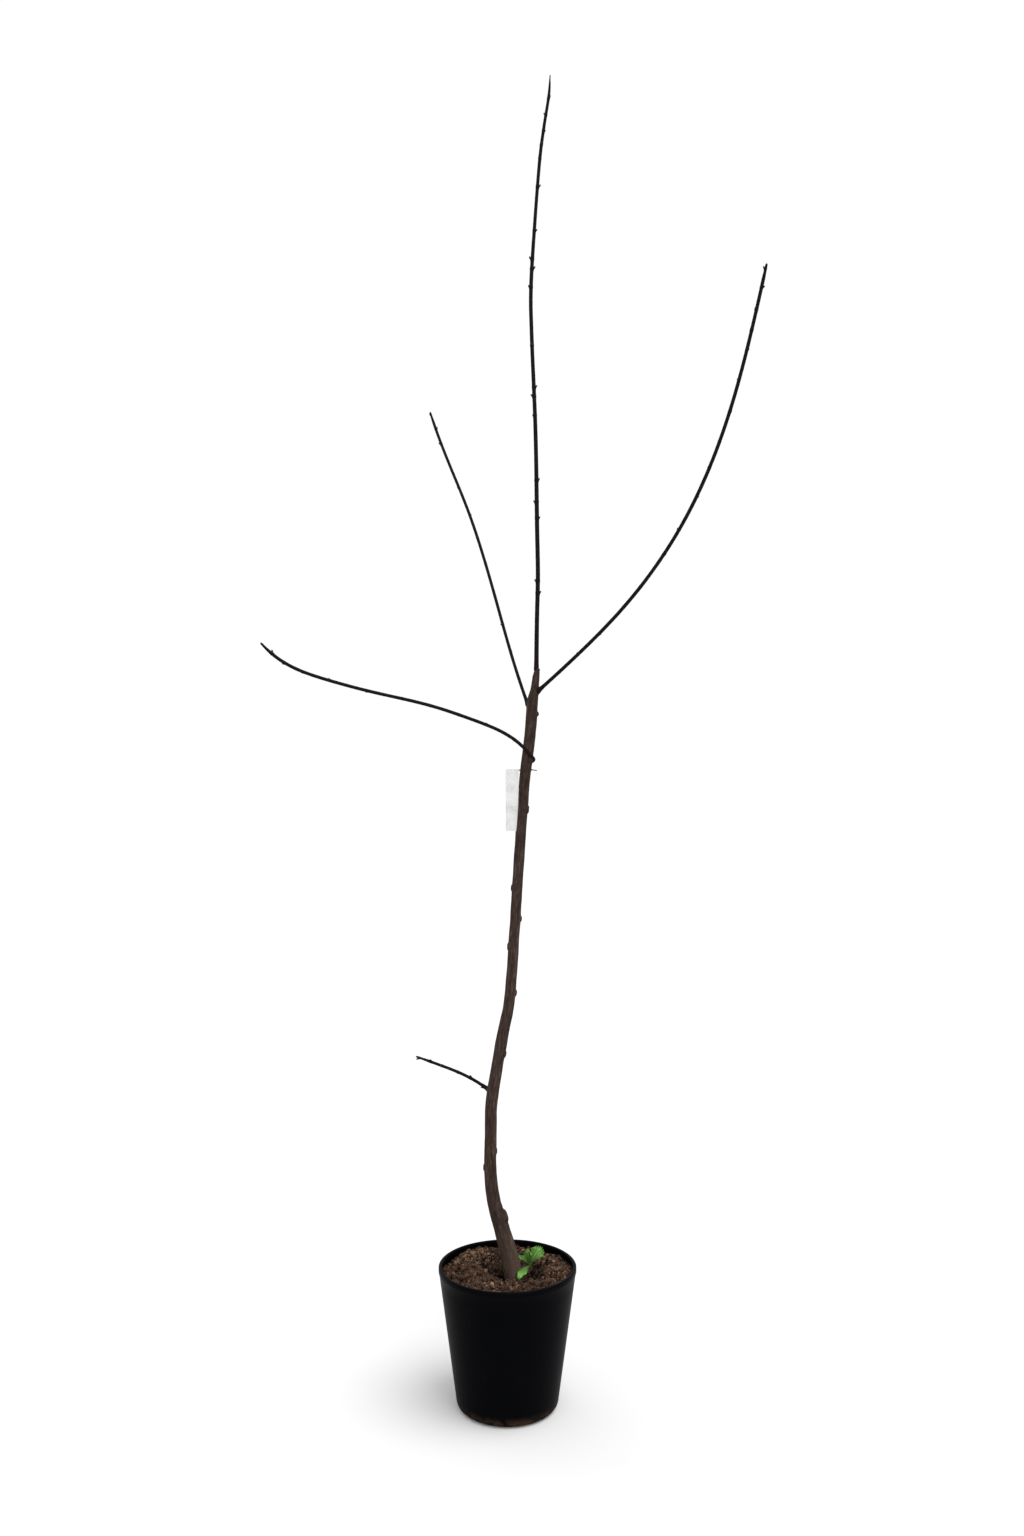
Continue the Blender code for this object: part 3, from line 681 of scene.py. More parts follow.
def green_leaf(settings):
    """Soft bright leaf: painted shade in folds and at the root, painted light at the tip, pale ribs
    that fan out from the root.
    """
    finish = Finish("young_green_leaf", specular=0.12)
    across, along = finish.blade_place()
    middle = finish.maths("ABSOLUTE", across - 0.5)
    rib = 1 - finish.between(middle, 0.010, 0.045)
    fan = finish.maths("SINE", across * 62.0)
    ribs = finish.between(fan, 0.55, 0.98)
    grooves = finish.between(fan * -1, 0.45, 0.95)
    cloud = finish.cloud(finish.place(), 210.0, 4.0, 0.6)
    tone = along * 0.65 + cloud * 0.65
    # Painted shade towards the root, with random patches, in the shaded green.
    green = finish.mix(finish.between(tone, 0.30, 0.90), settings.shade, settings.blade)
    # Painted light towards the tip.
    bright = finish.mix(finish.between(along, 0.35, 1.0) * 0.7, green, (0.155, 0.345, 0.062))
    # Painted shade in the grooves between the pleats.
    fold_shaded = finish.mix(grooves * 0.45, bright, settings.shade)
    veined = finish.mix((ribs * 0.35 + rib * 0.6) * 0.8, fold_shaded, (0.190, 0.365, 0.105))
    relief = fan * 0.5 + cloud * 0.5 + rib * 0.8
    return finish.surface(veined, cloud * 0.18 + 0.42, relief, 0.0004)


def tag_plastic(settings):
    """Plain weathered white plastic, on a dull brown tie."""
    finish = Finish("weathered_white_tag", specular=0.1)
    place = finish.place()
    grime = finish.between(finish.cloud(place, 45.0, 6.0, 0.7), 0.42, 0.72)
    specks = finish.between(finish.cloud(place, 600.0, 2.0), 0.62, 0.75)
    grey = finish.mix(grime * 0.7, settings.face, (0.36, 0.36, 0.35))
    speckled = finish.mix(specks * 0.3, grey, (0.22, 0.21, 0.20))
    colour = finish.mix(finish.attribute("tie"), speckled, (0.022, 0.016, 0.013))
    return finish.surface(colour, grime * 0.2 + 0.42, finish.cloud(place, 90.0), 0.0003)


def plain_floor(settings):
    """The pale studio floor."""
    finish = Finish("studio_floor", roughness=0.95, specular=0.0)
    finish.feed(finish.shader.inputs["Base Color"], paint(settings.floor))
    return finish.material


def add_piece(name, mesh, material, nodes=(), smooth=True):
    """Put a finished mesh in the scene, riding on the tree's body in place of its nodes."""
    if smooth:
        mesh.shade_smooth()
    mesh.materials.append(material)
    piece = bpy.data.objects.new(name, mesh)
    bpy.context.scene.collection.objects.link(piece)
    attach(piece, BODY)
    if nodes:
        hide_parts(*nodes)
    return piece


def mesh_of(name, bm):
    """Weld a bmesh, turn its faces outwards and make it a mesh."""
    bmesh.ops.remove_doubles(bm, verts=bm.verts, dist=WELD_DISTANCE)
    bmesh.ops.recalc_face_normals(bm, faces=bm.faces)
    mesh = bpy.data.meshes.new(name)
    bm.to_mesh(mesh)
    bm.free()
    return mesh


def shape_arrays(bm):
    """Points and triangles of a small shape."""
    bmesh.ops.triangulate(bm, faces=bm.faces)
    bm.verts.ensure_lookup_table()
    points = np.array([tuple(vertex.co) for vertex in bm.verts])
    faces = np.array([[vertex.index for vertex in face.verts] for face in bm.faces])
    bm.free()
    return points, faces


def pour(bm, whole):
    """Add one bmesh to another, and let it go."""
    carrier = bpy.data.meshes.new("carrier")
    bm.to_mesh(carrier)
    bm.free()
    whole.from_mesh(carrier)
    bpy.data.meshes.remove(carrier)


def full_turn(bm, points, edges, steps):
    """Turn a line of points and edges once round the +Z axis."""
    bmesh.ops.spin(
        bm,
        geom=points + edges,
        cent=(0.0, 0.0, 0.0),
        axis=(0.0, 0.0, 1.0),
        dvec=(0.0, 0.0, 0.0),
        angle=2 * math.pi,
        steps=steps,
        use_merge=True,
        use_normal_flip=False,
        use_duplicate=False,
    )


def thicken(bm, thickness):
    """Make a closed body of a sheet by pushing a copy of it out along its normals."""
    copied = bmesh.ops.extrude_face_region(bm, geom=bm.faces[:])
    bm.normal_update()
    for element in copied["geom"]:
        if isinstance(element, bmesh.types.BMVert):
            element.co += element.normal * thickness
    bmesh.ops.recalc_face_normals(bm, faces=bm.faces)


def direction(bearing, elevation):
    """A unit vector from a bearing and an elevation in degrees."""
    flat = math.cos(math.radians(elevation))
    return Vector(
        (
            flat * math.cos(math.radians(bearing)),
            flat * math.sin(math.radians(bearing)),
            math.sin(math.radians(elevation)),
        )
    )


def soft_step(value, low, high):
    """0 below the low value, 1 above the high one, and a soft step between."""
    share = min(max((value - low) / (high - low), 0.0), 1.0)
    return share * share * (3 - 2 * share)


def smooth_value(values, share):
    """Read a smooth curve through evenly spaced values, at a share of the way from 0 to 1."""
    last = len(values) - 1
    place = min(max(share, 0.0), 1.0) * last
    index = min(int(place), last - 1)
    t = place - index
    here = values[index]
    after = values[index + 1]
    before = values[index - 1] if index > 0 else 2 * here - after
    beyond = values[index + 2] if index + 2 <= last else 2 * after - here
    linear = (after - before) * t
    square = (2 * before - 5 * here + 4 * after - beyond) * t**2
    cube = (3 * here - before - 3 * after + beyond) * t**3
    return 0.5 * (2 * here + linear + square + cube)


def stations_line(stations, span_steps=24):
    """Points and radii along a smooth line through rows of height, x, y and radius."""
    rows = [Vector(row) for row in stations]
    count = (len(rows) - 1) * span_steps
    line = []
    for step in range(count + 1):
        height, x, y, radius = smooth_value(rows, step / count)
        line.append((Vector((x, y, height)), radius))
    return line


def place_on(line, height):
    """The point and radius of an upright line at a height."""
    for (low, low_radius), (high, high_radius) in zip(line, line[1:]):
        if low.z <= height <= high.z:
            share = (height - low.z) / (high.z - low.z)
            return low.lerp(high, share), low_radius + (high_radius - low_radius) * share
    raise ValueError(f"no point at height {height}")


def limb_line(limb, trunk_line):
    """Points and radii of a limb, from inside the trunk's skin to its tip."""
    axis, trunk_radius = place_on(trunk_line, limb.height)
    root = axis + direction(limb.side, 0) * trunk_radius * limb.stand_off
    count = round(limb.length / LINE_STEP)
    step = limb.length / count
    start = axis + direction(limb.side, 0) * trunk_radius * 0.35 - UP * ROOT_DROP
    bend = root - direction(limb.bearing, limb.elevations[0]) * ROOT_BEND
    line = []
    for index in range(ROOT_STEPS):
        share = index / ROOT_STEPS
        place = start.lerp(bend, share).lerp(bend.lerp(root, share), share)
        line.append((place, limb.root_radius))
    point = root
    for index in range(count + 1):
        share = index / count
        radius = limb.root_radius + (limb.tip_radius - limb.root_radius) * share
        line.append((point, radius))
        middle = (index + 0.5) / count
        elevation = smooth_value(limb.elevations, middle)
        point = point + direction(limb.bearing + limb.turn * middle, elevation) * step
    return line


class Rings:
    """Even steps along a line: the middle, radius, heading and frame of each, with no twist."""

    def __init__(self, line, spacing, start=0.0, stop=None):
        places = np.array([tuple(place) for place, _ in line])
        radii = np.array([radius for _, radius in line])
        spans = np.linalg.norm(np.diff(places, axis=0), axis=1)
        reach = np.concatenate([[0.0], np.cumsum(spans)])
        stop = reach[-1] if stop is None else stop
        count = max(round((stop - start) / spacing), 4)
        self.reach = np.linspace(start, stop, count + 1)
        self.middle = np.column_stack(
            [np.interp(self.reach, reach, places[:, axis]) for axis in range(3)]
        )
        self.radius = np.interp(self.reach, reach, radii)
        onward = np.gradient(self.middle, axis=0)
        self.onward = onward / np.linalg.norm(onward, axis=1)[:, None]
        self.side = np.zeros_like(self.onward)
        side = np.array([1.0, 0.0, 0.0])
        for index, heading in enumerate(self.onward):
            side = side - heading * (side @ heading)
            side = side / np.linalg.norm(side)
            self.side[index] = side
        self.deep = np.cross(self.onward, self.side)
        self.length = stop - start

    def outward(self, index, turn):
        """The direction straight out of a ring at a turn in radians."""
        return Vector(self.side[index] * math.cos(turn) + self.deep[index] * math.sin(turn))

    def nearest(self, reach):
        """The index of the ring nearest a reach."""
        return int(np.abs(self.reach - reach).argmin())


def line_length(line):
    """The whole length of a line."""
    return sum((end - start).length for (start, _), (end, _) in zip(line, line[1:]))


def limb_skin(rings, sides, relief):
    """A closed skin round a limb: a grid wrapped round its rings and welded, its ends filled."""
    steps = len(rings.reach) - 1
    bm = bmesh.new()
    surface = bm.loops.layers.uv.new("surface")
    bmesh.ops.create_grid(bm, x_segments=sides, y_segments=steps, size=0.5, calc_uvs=True)
    for face in bm.faces:
        for loop in face.loops:
            loop[surface].uv.y = loop[surface].uv.y * rings.length + rings.reach[0]
    for vertex in bm.verts:
        turn = (vertex.co.x + 0.5) * 2 * math.pi
        index = round((vertex.co.y + 0.5) * steps)
        radius = rings.radius[index]
        vertex.co = Vector(rings.middle[index]) + rings.outward(index, turn) * (
            radius + relief(index, turn)
        )
    bmesh.ops.remove_doubles(bm, verts=bm.verts, dist=WELD_DISTANCE)
    open_edges = [edge for edge in bm.edges if edge.is_boundary]
    bmesh.ops.holes_fill(bm, edges=open_edges, sides=0)
    return bm


def knot_swelling(height, turn, radius, knots):
    """How far old scars and spurs stand out here: a mound with a creased edge and a dimple."""
    total = 0.0
    for knot_height, bearing, half_height, stands_out in knots:
        rise = (height - knot_height) / half_height
        if abs(rise) > 3:
            continue
        away = (turn - math.radians(bearing) + math.pi) % (2 * math.pi) - math.pi
        round_it = away * radius / half_height * 1.15
        far = math.hypot(rise, round_it)
        mound = math.exp(-1.1 * far**2.4)
        crease = 0.28 * math.exp(-(((far - 1.05) / 0.20) ** 2))
        dimple = 0.30 * math.exp(-((far / 0.30) ** 2))
        total += stands_out * (mound - crease - dimple)
    return total


def limb_collar(limb, trunk_line):
    """The swelling under a limb, as a knot."""
    _, radius = place_on(trunk_line, limb.height)
    stands_out = radius * (limb.stand_off - ON_SKIN) + limb.root_radius * 0.75
    return (limb.height, limb.side, limb.root_radius * 2.1, stands_out)


class TrunkOperator(bpy.types.Operator):
    """Build the trunk with its bark, scars, flaky foot and pruned top."""

    bl_idname = "persimmon.trunk"
    bl_label = "Trunk"

    def execute(self, context):
        settings = context.scene.persimmon_bark
        line = stations_line(TRUNK_STATIONS)
        rings = Rings(line, TRUNK_SPACING)
        knots = TRUNK_KNOTS + tuple(limb_collar(limb, line) for limb in LIMBS)

        def relief(index, turn):
            radius = rings.radius[index]
            height = rings.middle[index][2]
            reach = rings.reach[index]
            around = Vector((math.cos(turn), math.sin(turn), 0.0)) * radius
            ridges = noise.fractal(around * 290 + UP * reach * 34, 0.9, 2.1, 4)
            grain = noise.noise(around * 1000 + UP * reach * 260)
            slow = noise.noise(around * 45 + UP * reach * 28)
            foot = 1 - soft_step(height, *FLAKY_FOOT)
            total = settings.relief * (ridges + 0.30 * grain) + TRUNK_SWELL * slow
            if foot > 0:
                wrinkles = noise.fractal(around * 120 + UP * reach * 330, 0.8, 2.2, 3)
                flakes = abs(noise.fractal(around * 230 + UP * reach * 120, 0.8, 2.2, 3))
                total += foot * (FOOT_WRINKLE * wrinkles + FOOT_FLAKE * flakes)
                flare = math.exp(-(height - TRUNK_STATIONS[0][0]) / FOOT_LOBE_HEIGHT)
                total += FOOT_LOBE * flare * math.cos(4 * turn + 0.8)
            left_side = 0.5 - 0.5 * math.cos(turn)
            total -= TOP_SLOPE * soft_step(height, *TOP_SLOPE_HEIGHTS) * left_side
            return total + knot_swelling(height, turn, radius, knots)

        bm = limb_skin(rings, TRUNK_SIDES, relief)
        self.prune_top(bm)
        mesh = mesh_of("trunk_with_bark", bm)
        add_piece("trunk_with_bark", mesh, trunk_bark(settings), ("trunk",))
        return {"FINISHED"}

    def prune_top(self, bm):
        """Sink the cut face at the top inside a rolled edge, and mark it as bare wood."""
        bm.verts.ensure_lookup_table()
        cut = bm.verts.layers.float.new("cut")
        top = max(bm.faces, key=lambda face: face.calc_center_median().z)
        inset = bmesh.ops.inset_region(bm, faces=[top], thickness=0.0007, depth=0.0004)
        for face in inset["faces"]:
            face.smooth = True
        bmesh.ops.inset_region(bm, faces=[top], thickness=0.0005, depth=-0.0009)
        for vertex in top.verts:
            vertex[cut] = 1.0
        bmesh.ops.poke(bm, faces=[top])


def bough_relief(rings, bumps, grain_depth, root_flare, tip_taper=0.0):
    """Relief of a thin limb: fine grain, a flared root, a round tip and a swelling at each bud."""
    last = rings.reach[-1]

    def relief(index, turn):
        radius = rings.radius[index]
        reach = rings.reach[index]
        around = Vector((math.cos(turn), math.sin(turn), 0.0)) * radius
        ridges = noise.fractal(around * 800 + UP * reach * 160, 0.9, 2.0, 3)
        bend = noise.noise(UP * reach * 45 + around * 60)
        total = grain_depth * (ridges + 0.8 * bend)
        total += radius * root_flare * math.exp(-max(reach - 0.008, 0.0) / 0.007)
        total -= radius * tip_taper * soft_step(reach, last - TIP_TAPER_LENGTH, last)
        for bump_reach, bump_turn, size in bumps:
            far = (reach - bump_reach) / (0.0030 * size)
            if abs(far) < 3:
                facing = 0.35 + 0.65 * max(math.cos(turn - bump_turn), 0.0)
                total += 0.30 * radius * size * facing * math.exp(-(far**2))
        left = (last - reach) / (radius * 1.2)
        if left < 1:
            total -= (radius + total) * (1 - math.sqrt(max(1 - (1 - left) ** 2, 0.0025)))
        return total

    return relief


def bud_shape():
    """One pointed bud on its leaf scar, along +Z and facing +Y: points, triangles and tones."""
    bm = bmesh.new()
    bmesh.ops.create_uvsphere(bm, u_segments=10, v_segments=8, radius=1.0)
    for vertex in bm.verts:
        rise = vertex.co.z
        pinch = 1 - 0.55 * soft_step(rise, -0.1, 1.0)
        overlap = 1 + 0.10 * (0.0 < rise < 0.45 and vertex.co.x > 0)
        vertex.co.x *= BUD_RADIUS * pinch * overlap
        vertex.co.y *= BUD_RADIUS * (0.85 if vertex.co.y > 0 else 0.6) * pinch
        vertex.co.z = BUD_LENGTH * 0.5 * rise + BUD_LENGTH * 0.32
    scale_points = len(bm.verts)
    scar_turn = Matrix.Rotation(math.radians(-62), 4, "X")
    scar_place = Matrix.Translation((0.0, 0.0006, -0.0014)) @ scar_turn
    bmesh.ops.create_cone(
        bm,
        cap_ends=True,
        segments=12,
        radius1=BUD_RADIUS * 0.95,
        radius2=BUD_RADIUS * 0.70,
        depth=0.0011,
        matrix=scar_place,
    )
    points, faces = shape_arrays(bm)
    tones = np.array([0.0] * scale_points + [1.0] * (len(points) - scale_points))
    return points, faces, tones


def mesh_from_arrays(name, points, faces, tones):
    """One mesh from many copies: points as (copies, points, 3), and a tone for each point."""
    copies, count = points.shape[:2]
    shifts = (np.arange(copies) * count)[:, None, None]
    mesh = bpy.data.meshes.new(name)
    corners = (faces[None] + shifts).reshape(-1, faces.shape[1])
    mesh.from_pydata(points.reshape(-1, 3).tolist(), [], corners.tolist())
    tone = mesh.attributes.new("tone", "FLOAT", "POINT")
    tone.data.foreach_set("value", np.ascontiguousarray(tones, np.float32).reshape(-1))
    return mesh


def add_buds(name, buds, material):
    """One piece of buds, each from a place, a way on, a way out and a size."""
    points, faces, tones = bud_shape()
    made = []
    for place, onward, outward, size in buds:
        across = onward.cross(outward).normalized()
        axis = (onward * 0.86 + outward * 0.5).normalized()
        out = axis.cross(across) * -1
        turn = np.array([tuple(across), tuple(out), tuple(axis)])
        made.append(points * size @ turn + np.array(tuple(place)))
    mesh = mesh_from_arrays(name, np.array(made), faces, np.tile(tones, len(made)))
    return add_piece(name, mesh, material)


def spiral_buds(line, start, seed, spacing, sizes):
    """Buds set round a limb in a spiral from a reach to its tip: reach, turn and size."""
    chance = random.Random(seed)
    turn = chance.uniform(0, 360)
    reach = start + spacing * 0.6
    stop = line_length(line) - 0.004
    buds = []
    while reach < stop:
        buds.append((reach, math.radians(turn), chance.uniform(*sizes)))
        turn += BUD_SPIRAL + chance.uniform(-15, 15)
        reach += spacing * chance.uniform(0.8, 1.25)
    return buds


def seated_buds(rings, buds):
    """Places of buds on a limb's skin, from their reach, turn and size."""
    seated = []
    for reach, turn, size in buds:
        index = rings.nearest(reach)
        outward = rings.outward(index, turn)
        onward = Vector(rings.onward[index])
        place = Vector(rings.middle[index]) + outward * rings.radius[index] * (0.90 + 0.1 * size)
        seated.append((place, onward, outward, size))
    return seated


def tip_bud(rings):
    """The bud that ends a shoot."""
    onward = Vector(rings.onward[-1])
    outward = rings.outward(len(rings.reach) - 1, 0.0)
    place = Vector(rings.middle[-1]) - onward * BUD_LENGTH * 0.75
    return (place, onward, outward * 0.2, 0.62)


def build_limb(name, line, shoot_length, old_buds, seed, settings, nodes, root_flare=ROOT_FLARE):
    """A bough and the shoot that ends it, each with its own skin, and their buds."""
    bough_node, shoot_node = nodes
    total = line_length(line)
    cut = total - shoot_length
    young = spiral_buds(line, cut, seed, BUD_SPACING, (0.8, 1.05))
    whole = Rings(line, LIMB_SPACING)
    shoot = Rings(line, LIMB_SPACING, cut, total)
    if bough_node:
        bough = Rings(line, LIMB_SPACING, 0.0, cut + SHOOT_OVERLAP)
        ring_scar = [(cut, turn, 0.8) for turn in (0.0, 2.1, 4.2)]
        relief = open_ended(bough, old_buds + ring_scar, root_flare)
        bm = limb_skin(bough, LIMB_SIDES, relief)
        bark = fine_bark(name + "_bark", settings.bough, roughness=0.58, stretch=300.0)
        mesh = mesh_of(name + "_limb", bm)
        add_piece(name + "_limb", mesh, bark, (bough_node,))
    flare = 0.0 if bough_node else root_flare
    relief = bough_relief(shoot, young, SHOOT_GRAIN, flare, TIP_TAPER)
    bm = limb_skin(shoot, LIMB_SIDES, relief)
    bark = fine_bark(name + "_shoot_bark", settings.shoot, roughness=0.50, stretch=380.0)
    mesh = mesh_of(name + "_end_shoot", bm)
    add_piece(name + "_end_shoot", mesh, bark, (shoot_node,))
    buds = seated_buds(whole, old_buds + young) + [tip_bud(shoot)]
    add_buds(name + "_buds", buds, bud_scales(settings))


def open_ended(rings, bumps, root_flare):
    """Relief of a bough, which keeps its full width where its shoot carries on."""
    closed = bough_relief(rings, bumps, BOUGH_GRAIN, root_flare)
    last = rings.reach[-1]

    def relief(index, turn):
        if last - rings.reach[index] < rings.radius[index] * 1.2:
            return 0.0
        return closed(index, turn)

    return relief


class LeaderOperator(bpy.types.Operator):
    """Build the leader that carries on from the pruned top, with its spurs and end shoot."""

    bl_idname = "persimmon.leader"
    bl_label = "Leader"

    def execute(self, context):
        settings = context.scene.persimmon_bark
        line = stations_line(LEADER_STATIONS)
        line = [(place, radius + LEADER_BARK) for place, radius in line]
        line.insert(0, (line[0][0] - UP * LEADER_SINK, line[0][1]))
        rings = Rings(line, LIMB_SPACING)
        buds = []
        for height, bearing, size in LEADER_BUDS:
            index = int(np.abs(rings.middle[:, 2] - height).argmin())
            buds.append((rings.reach[index], math.radians(bearing), size))
        nodes = ("leader", "leader_shoot")
        build_limb(
            "leader", line, LEADER_SHOOT_LENGTH, buds, LEADER_SEED, settings, nodes, LEADER_FLARE
        )
        return {"FINISHED"}


class BoughsOperator(bpy.types.Operator):
    """Build the right, left and low boughs and the low twig, with their end shoots."""

    bl_idname = "persimmon.boughs"
    bl_label = "Boughs"

    def execute(self, context):
        settings = context.scene.persimmon_bark
        trunk_line = stations_line(TRUNK_STATIONS)
        for name, limb in (("right", RIGHT_BOUGH), ("left", LEFT_BOUGH), ("low", LOW_BOUGH)):
            line = limb_line(limb, trunk_line)
            cut = line_length(line) - limb.shoot
            old = spiral_buds(line, 0.03, limb.seed + 20, OLD_BUD_SPACING, (0.45, 0.65))
            old = [bud for bud in old if bud[0] < cut - 0.01]
            nodes = (name + "_bough", name + "_shoot")
            build_limb(name, line, limb.shoot, old, limb.seed, settings, nodes)
        line = limb_line(LOW_TWIG, trunk_line)
        length = line_length(line)
        build_limb("low_twig", line, length, [], LOW_TWIG.seed, settings, (None, "low_twig"))
        return {"FINISHED"}


def wall_radius(height):
    """The outer radius of the pot's straight wall at a height."""
    top = POT_HEIGHT - POT_RIM_DROP
    spread = POT_RIM_RADIUS - POT_RIM_STEP - POT_FOOT_RADIUS
    return POT_FOOT_RADIUS + spread * height / top


def wall_angle():
    """The wall's lean outwards in degrees."""
    top = POT_HEIGHT - POT_RIM_DROP
    return math.degrees(math.atan((wall_radius(top) - POT_FOOT_RADIUS) / top))


def arc(centre, radius, start, end, steps):
    """Points of an arc in the profile plane, with its angles in degrees."""
    angles = [math.radians(start + (end - start) * step / steps) for step in range(steps + 1)]
    return [
        (centre[0] + radius * math.cos(angle), centre[1] + radius * math.sin(angle))
        for angle in angles
    ]


def foot_arc(inset, base, steps=10):
    """The round between floor and wall, this far inside the pot's outer skin, floor end first."""
    radius = max(POT_FOOT_ROUND - inset, 0.002)
    height = base + radius
    lean = wall_angle()
    centre = wall_radius(height) - (inset + radius) / math.cos(math.radians(lean))
    return arc((centre, height), radius, -90, -lean, steps)


def spin_profile(bm, profile, steps):
    """Turn a profile of radii and heights into a closed body."""
    points = [bm.verts.new((radius, 0.0, height)) for radius, height in profile]
    edges = [bm.edges.new(pair) for pair in zip(points, points[1:])]
    full_turn(bm, points, edges, steps)
    bmesh.ops.remove_doubles(bm, verts=bm.verts, dist=WELD_DISTANCE)
    bmesh.ops.recalc_face_normals(bm, faces=bm.faces)


class PotOperator(bpy.types.Operator):
    """Build the black pot: a thin turned wall, a beaded rim and drain holes in its floor."""

    bl_idname = "persimmon.pot"
    bl_label = "Pot"

    def execute(self, context):
        settings = context.scene.persimmon_pot
        rim_bottom = POT_HEIGHT - POT_RIM_DROP
        bead_inside = POT_RIM_RADIUS - POT_RIM_WIDTH
        inner_top = rim_bottom - 0.004
        bead = POT_HEIGHT - POT_RIM_ROUND
        profile = [(0.0, POT_WALL)]
        profile += foot_arc(POT_WALL, POT_WALL)
        profile += self.wall(POT_WALL_START, inner_top, -POT_WALL)
        profile.append((bead_inside, rim_bottom + 0.001))
        profile += arc((bead_inside + POT_RIM_ROUND, bead), POT_RIM_ROUND, 180, 90, 6)
        profile += arc((POT_RIM_RADIUS - POT_RIM_ROUND, bead), POT_RIM_ROUND, 90, 0, 6)
        profile.append((POT_RIM_RADIUS, rim_bottom + 0.0006))
        profile.append((POT_RIM_RADIUS - 0.0003, rim_bottom))
        profile += self.wall(rim_bottom - 0.001, POT_WALL_START, 0.0)
        profile += foot_arc(0.0, 0.0)[::-1]
        profile.append((DRAIN_CIRCLE + 0.014, 0.0))
        profile.append((DRAIN_CIRCLE + 0.013, POT_BASE_HOLLOW))
        profile.append((0.0, POT_BASE_HOLLOW))
        bm = bmesh.new()
        spin_profile(bm, profile, POT_STEPS)
        mesh = mesh_of("nursery_pot", bm)
        pot = add_piece("nursery_pot", mesh, black_plastic(settings), ("pot",))
        self.drill(pot)
        pot.data.set_sharp_from_angle(angle=math.radians(50))
        return {"FINISHED"}

    def wall(self, start, end, offset, steps=12):
        """Points up or down the straight wall."""
        heights = [start + (end - start) * step / steps for step in range(steps + 1)]
        return [(wall_radius(height) + offset, height) for height in heights]

    def drill(self, pot):
        """Cut the drain holes through the floor."""
        bm = bmesh.new()
        for index in range(DRAIN_COUNT):
            turn = 2 * math.pi * (index + 0.5) / DRAIN_COUNT
            place = (DRAIN_CIRCLE * math.cos(turn), DRAIN_CIRCLE * math.sin(turn), 0.0)
            bmesh.ops.create_cone(
                bm,
                cap_ends=True,
                segments=32,
                radius1=DRAIN_RADIUS,
                radius2=DRAIN_RADIUS,
                depth=POT_WALL * 5,
                matrix=Matrix.Translation(place),
            )
        mesh = bpy.data.meshes.new("drill")
        bm.to_mesh(mesh)
        bm.free()
        drill = bpy.data.objects.new("drill", mesh)
        bpy.context.scene.collection.objects.link(drill)
        cut = pot.modifiers.new("Drain holes", "BOOLEAN")
        cut.object = drill
        cut.operation = "DIFFERENCE"
        cut.solver = "EXACT"
        bpy.context.view_layer.update()
        graph = bpy.context.evaluated_depsgraph_get()
        drilled = bpy.data.meshes.new_from_object(pot.evaluated_get(graph))
        pot.modifiers.clear()
        pot.data = drilled
        bpy.data.objects.remove(drill, do_unlink=True)


def add_mounds(total, x, y, mounds):
    """Add to a total what smooth round mounds and hollows give at a place."""
    for mound_x, mound_y, spread, rise in mounds:
        away = (x - mound_x) ** 2 + (y - mound_y) ** 2
        total += rise * math.exp(-away / (2 * spread**2))
    return total


def mix_height(x, y):
    """The height of the potting mix: a lumpy level with its mounds and hollows."""
    height = add_mounds(MIX_LEVEL, x, y, MIX_FORMS)
    lumps = noise.noise(Vector((x, y, 0.37)) / MIX_LUMP_SPACING)
    return height + MIX_LUMP * lumps


def clod_gap(x, y):
    """How far a place lies down between clods, from 0 on top of one to 1 in a gap or hollow."""
    place = Vector((x, y, 0.1))
    drift = Vector((noise.noise(place * 90), noise.noise(place * 90 + UP * 5), 0.0))
    near, _ = noise.voronoi((place + drift * 0.004) * MIX_CLOD_SCALE)
    gap = 1 - min((near[1] - near[0]) / 0.34, 1.0)
    return gap * gap


def small_hollow(x, y):
    """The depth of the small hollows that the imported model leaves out."""
    return add_mounds(0.0, x, y, MIX_HOLLOWS)


def crumbly_height(x, y):
    """The mix with its clods and smaller lumps, kept under the rim at its edge."""
    place = Vector((x, y, 0.1))
    clods = noise.fractal(place * 52, 0.8, 2.2, 3)
    lumps = noise.fractal(place * 160, 0.8, 2.2, 3)
    height = mix_height(x, y) + small_hollow(x, y)
    height += MIX_CLOD_RISE * clods + MIX_SMALL_RISE * lumps - MIX_GAP_DEPTH * clod_gap(x, y)
    if math.hypot(x, y) > LOOSE_RADIUS:
        height = min(height, MIX_EDGE_HEIGHT + 0.0006 * lumps)
    return height


class MixOperator(bpy.types.Operator):
    """Build the potting mix that fills the pot, with a crumbly top."""

    bl_idname = "persimmon.mix"
    bl_label = "Potting mix"

    def execute(self, context):
        settings = context.scene.persimmon_mix
        edge = wall_radius(MIX_EDGE_HEIGHT) - MIX_CLEAR
        profile = [(edge * ring / MIX_RINGS, MIX_LEVEL) for ring in range(MIX_RINGS + 1)]
        shoulder = MIX_LEVEL - MIX_SHOULDER
        profile.append((wall_radius(shoulder) - MIX_CLEAR, shoulder))
        profile += foot_arc(MIX_CLEAR, MIX_CLEAR)[::-1]
        profile.append((0.0, MIX_CLEAR))
        bm = bmesh.new()
        spin_profile(bm, profile, MIX_STEPS)
        gap = bm.verts.layers.float.new("gap")
        for vertex in bm.verts:
            x, y, height = vertex.co
            if height > MIX_LEVEL - 0.001:
                vertex.co.z = crumbly_height(x, y)
                # The gap value is kept for the painted shade between clods and in the hollows.
                vertex[gap] = min(clod_gap(x, y) + small_hollow(x, y) / -0.006, 1.0)
        mesh = mesh_of("potting_mix_body", bm)
        ground = mix_ground(settings)
        add_piece("potting_mix_body", mesh, ground, ("potting_mix",))
        return {"FINISHED"}


def dryness_and_hollow_shade(x, y):
    """How dry and pale the top lies here: driest at back left and right, with painted shade in two
    hollows.
    """
    return add_mounds(0.0, x, y, MIX_DRY_AND_SHADED_PLACES)


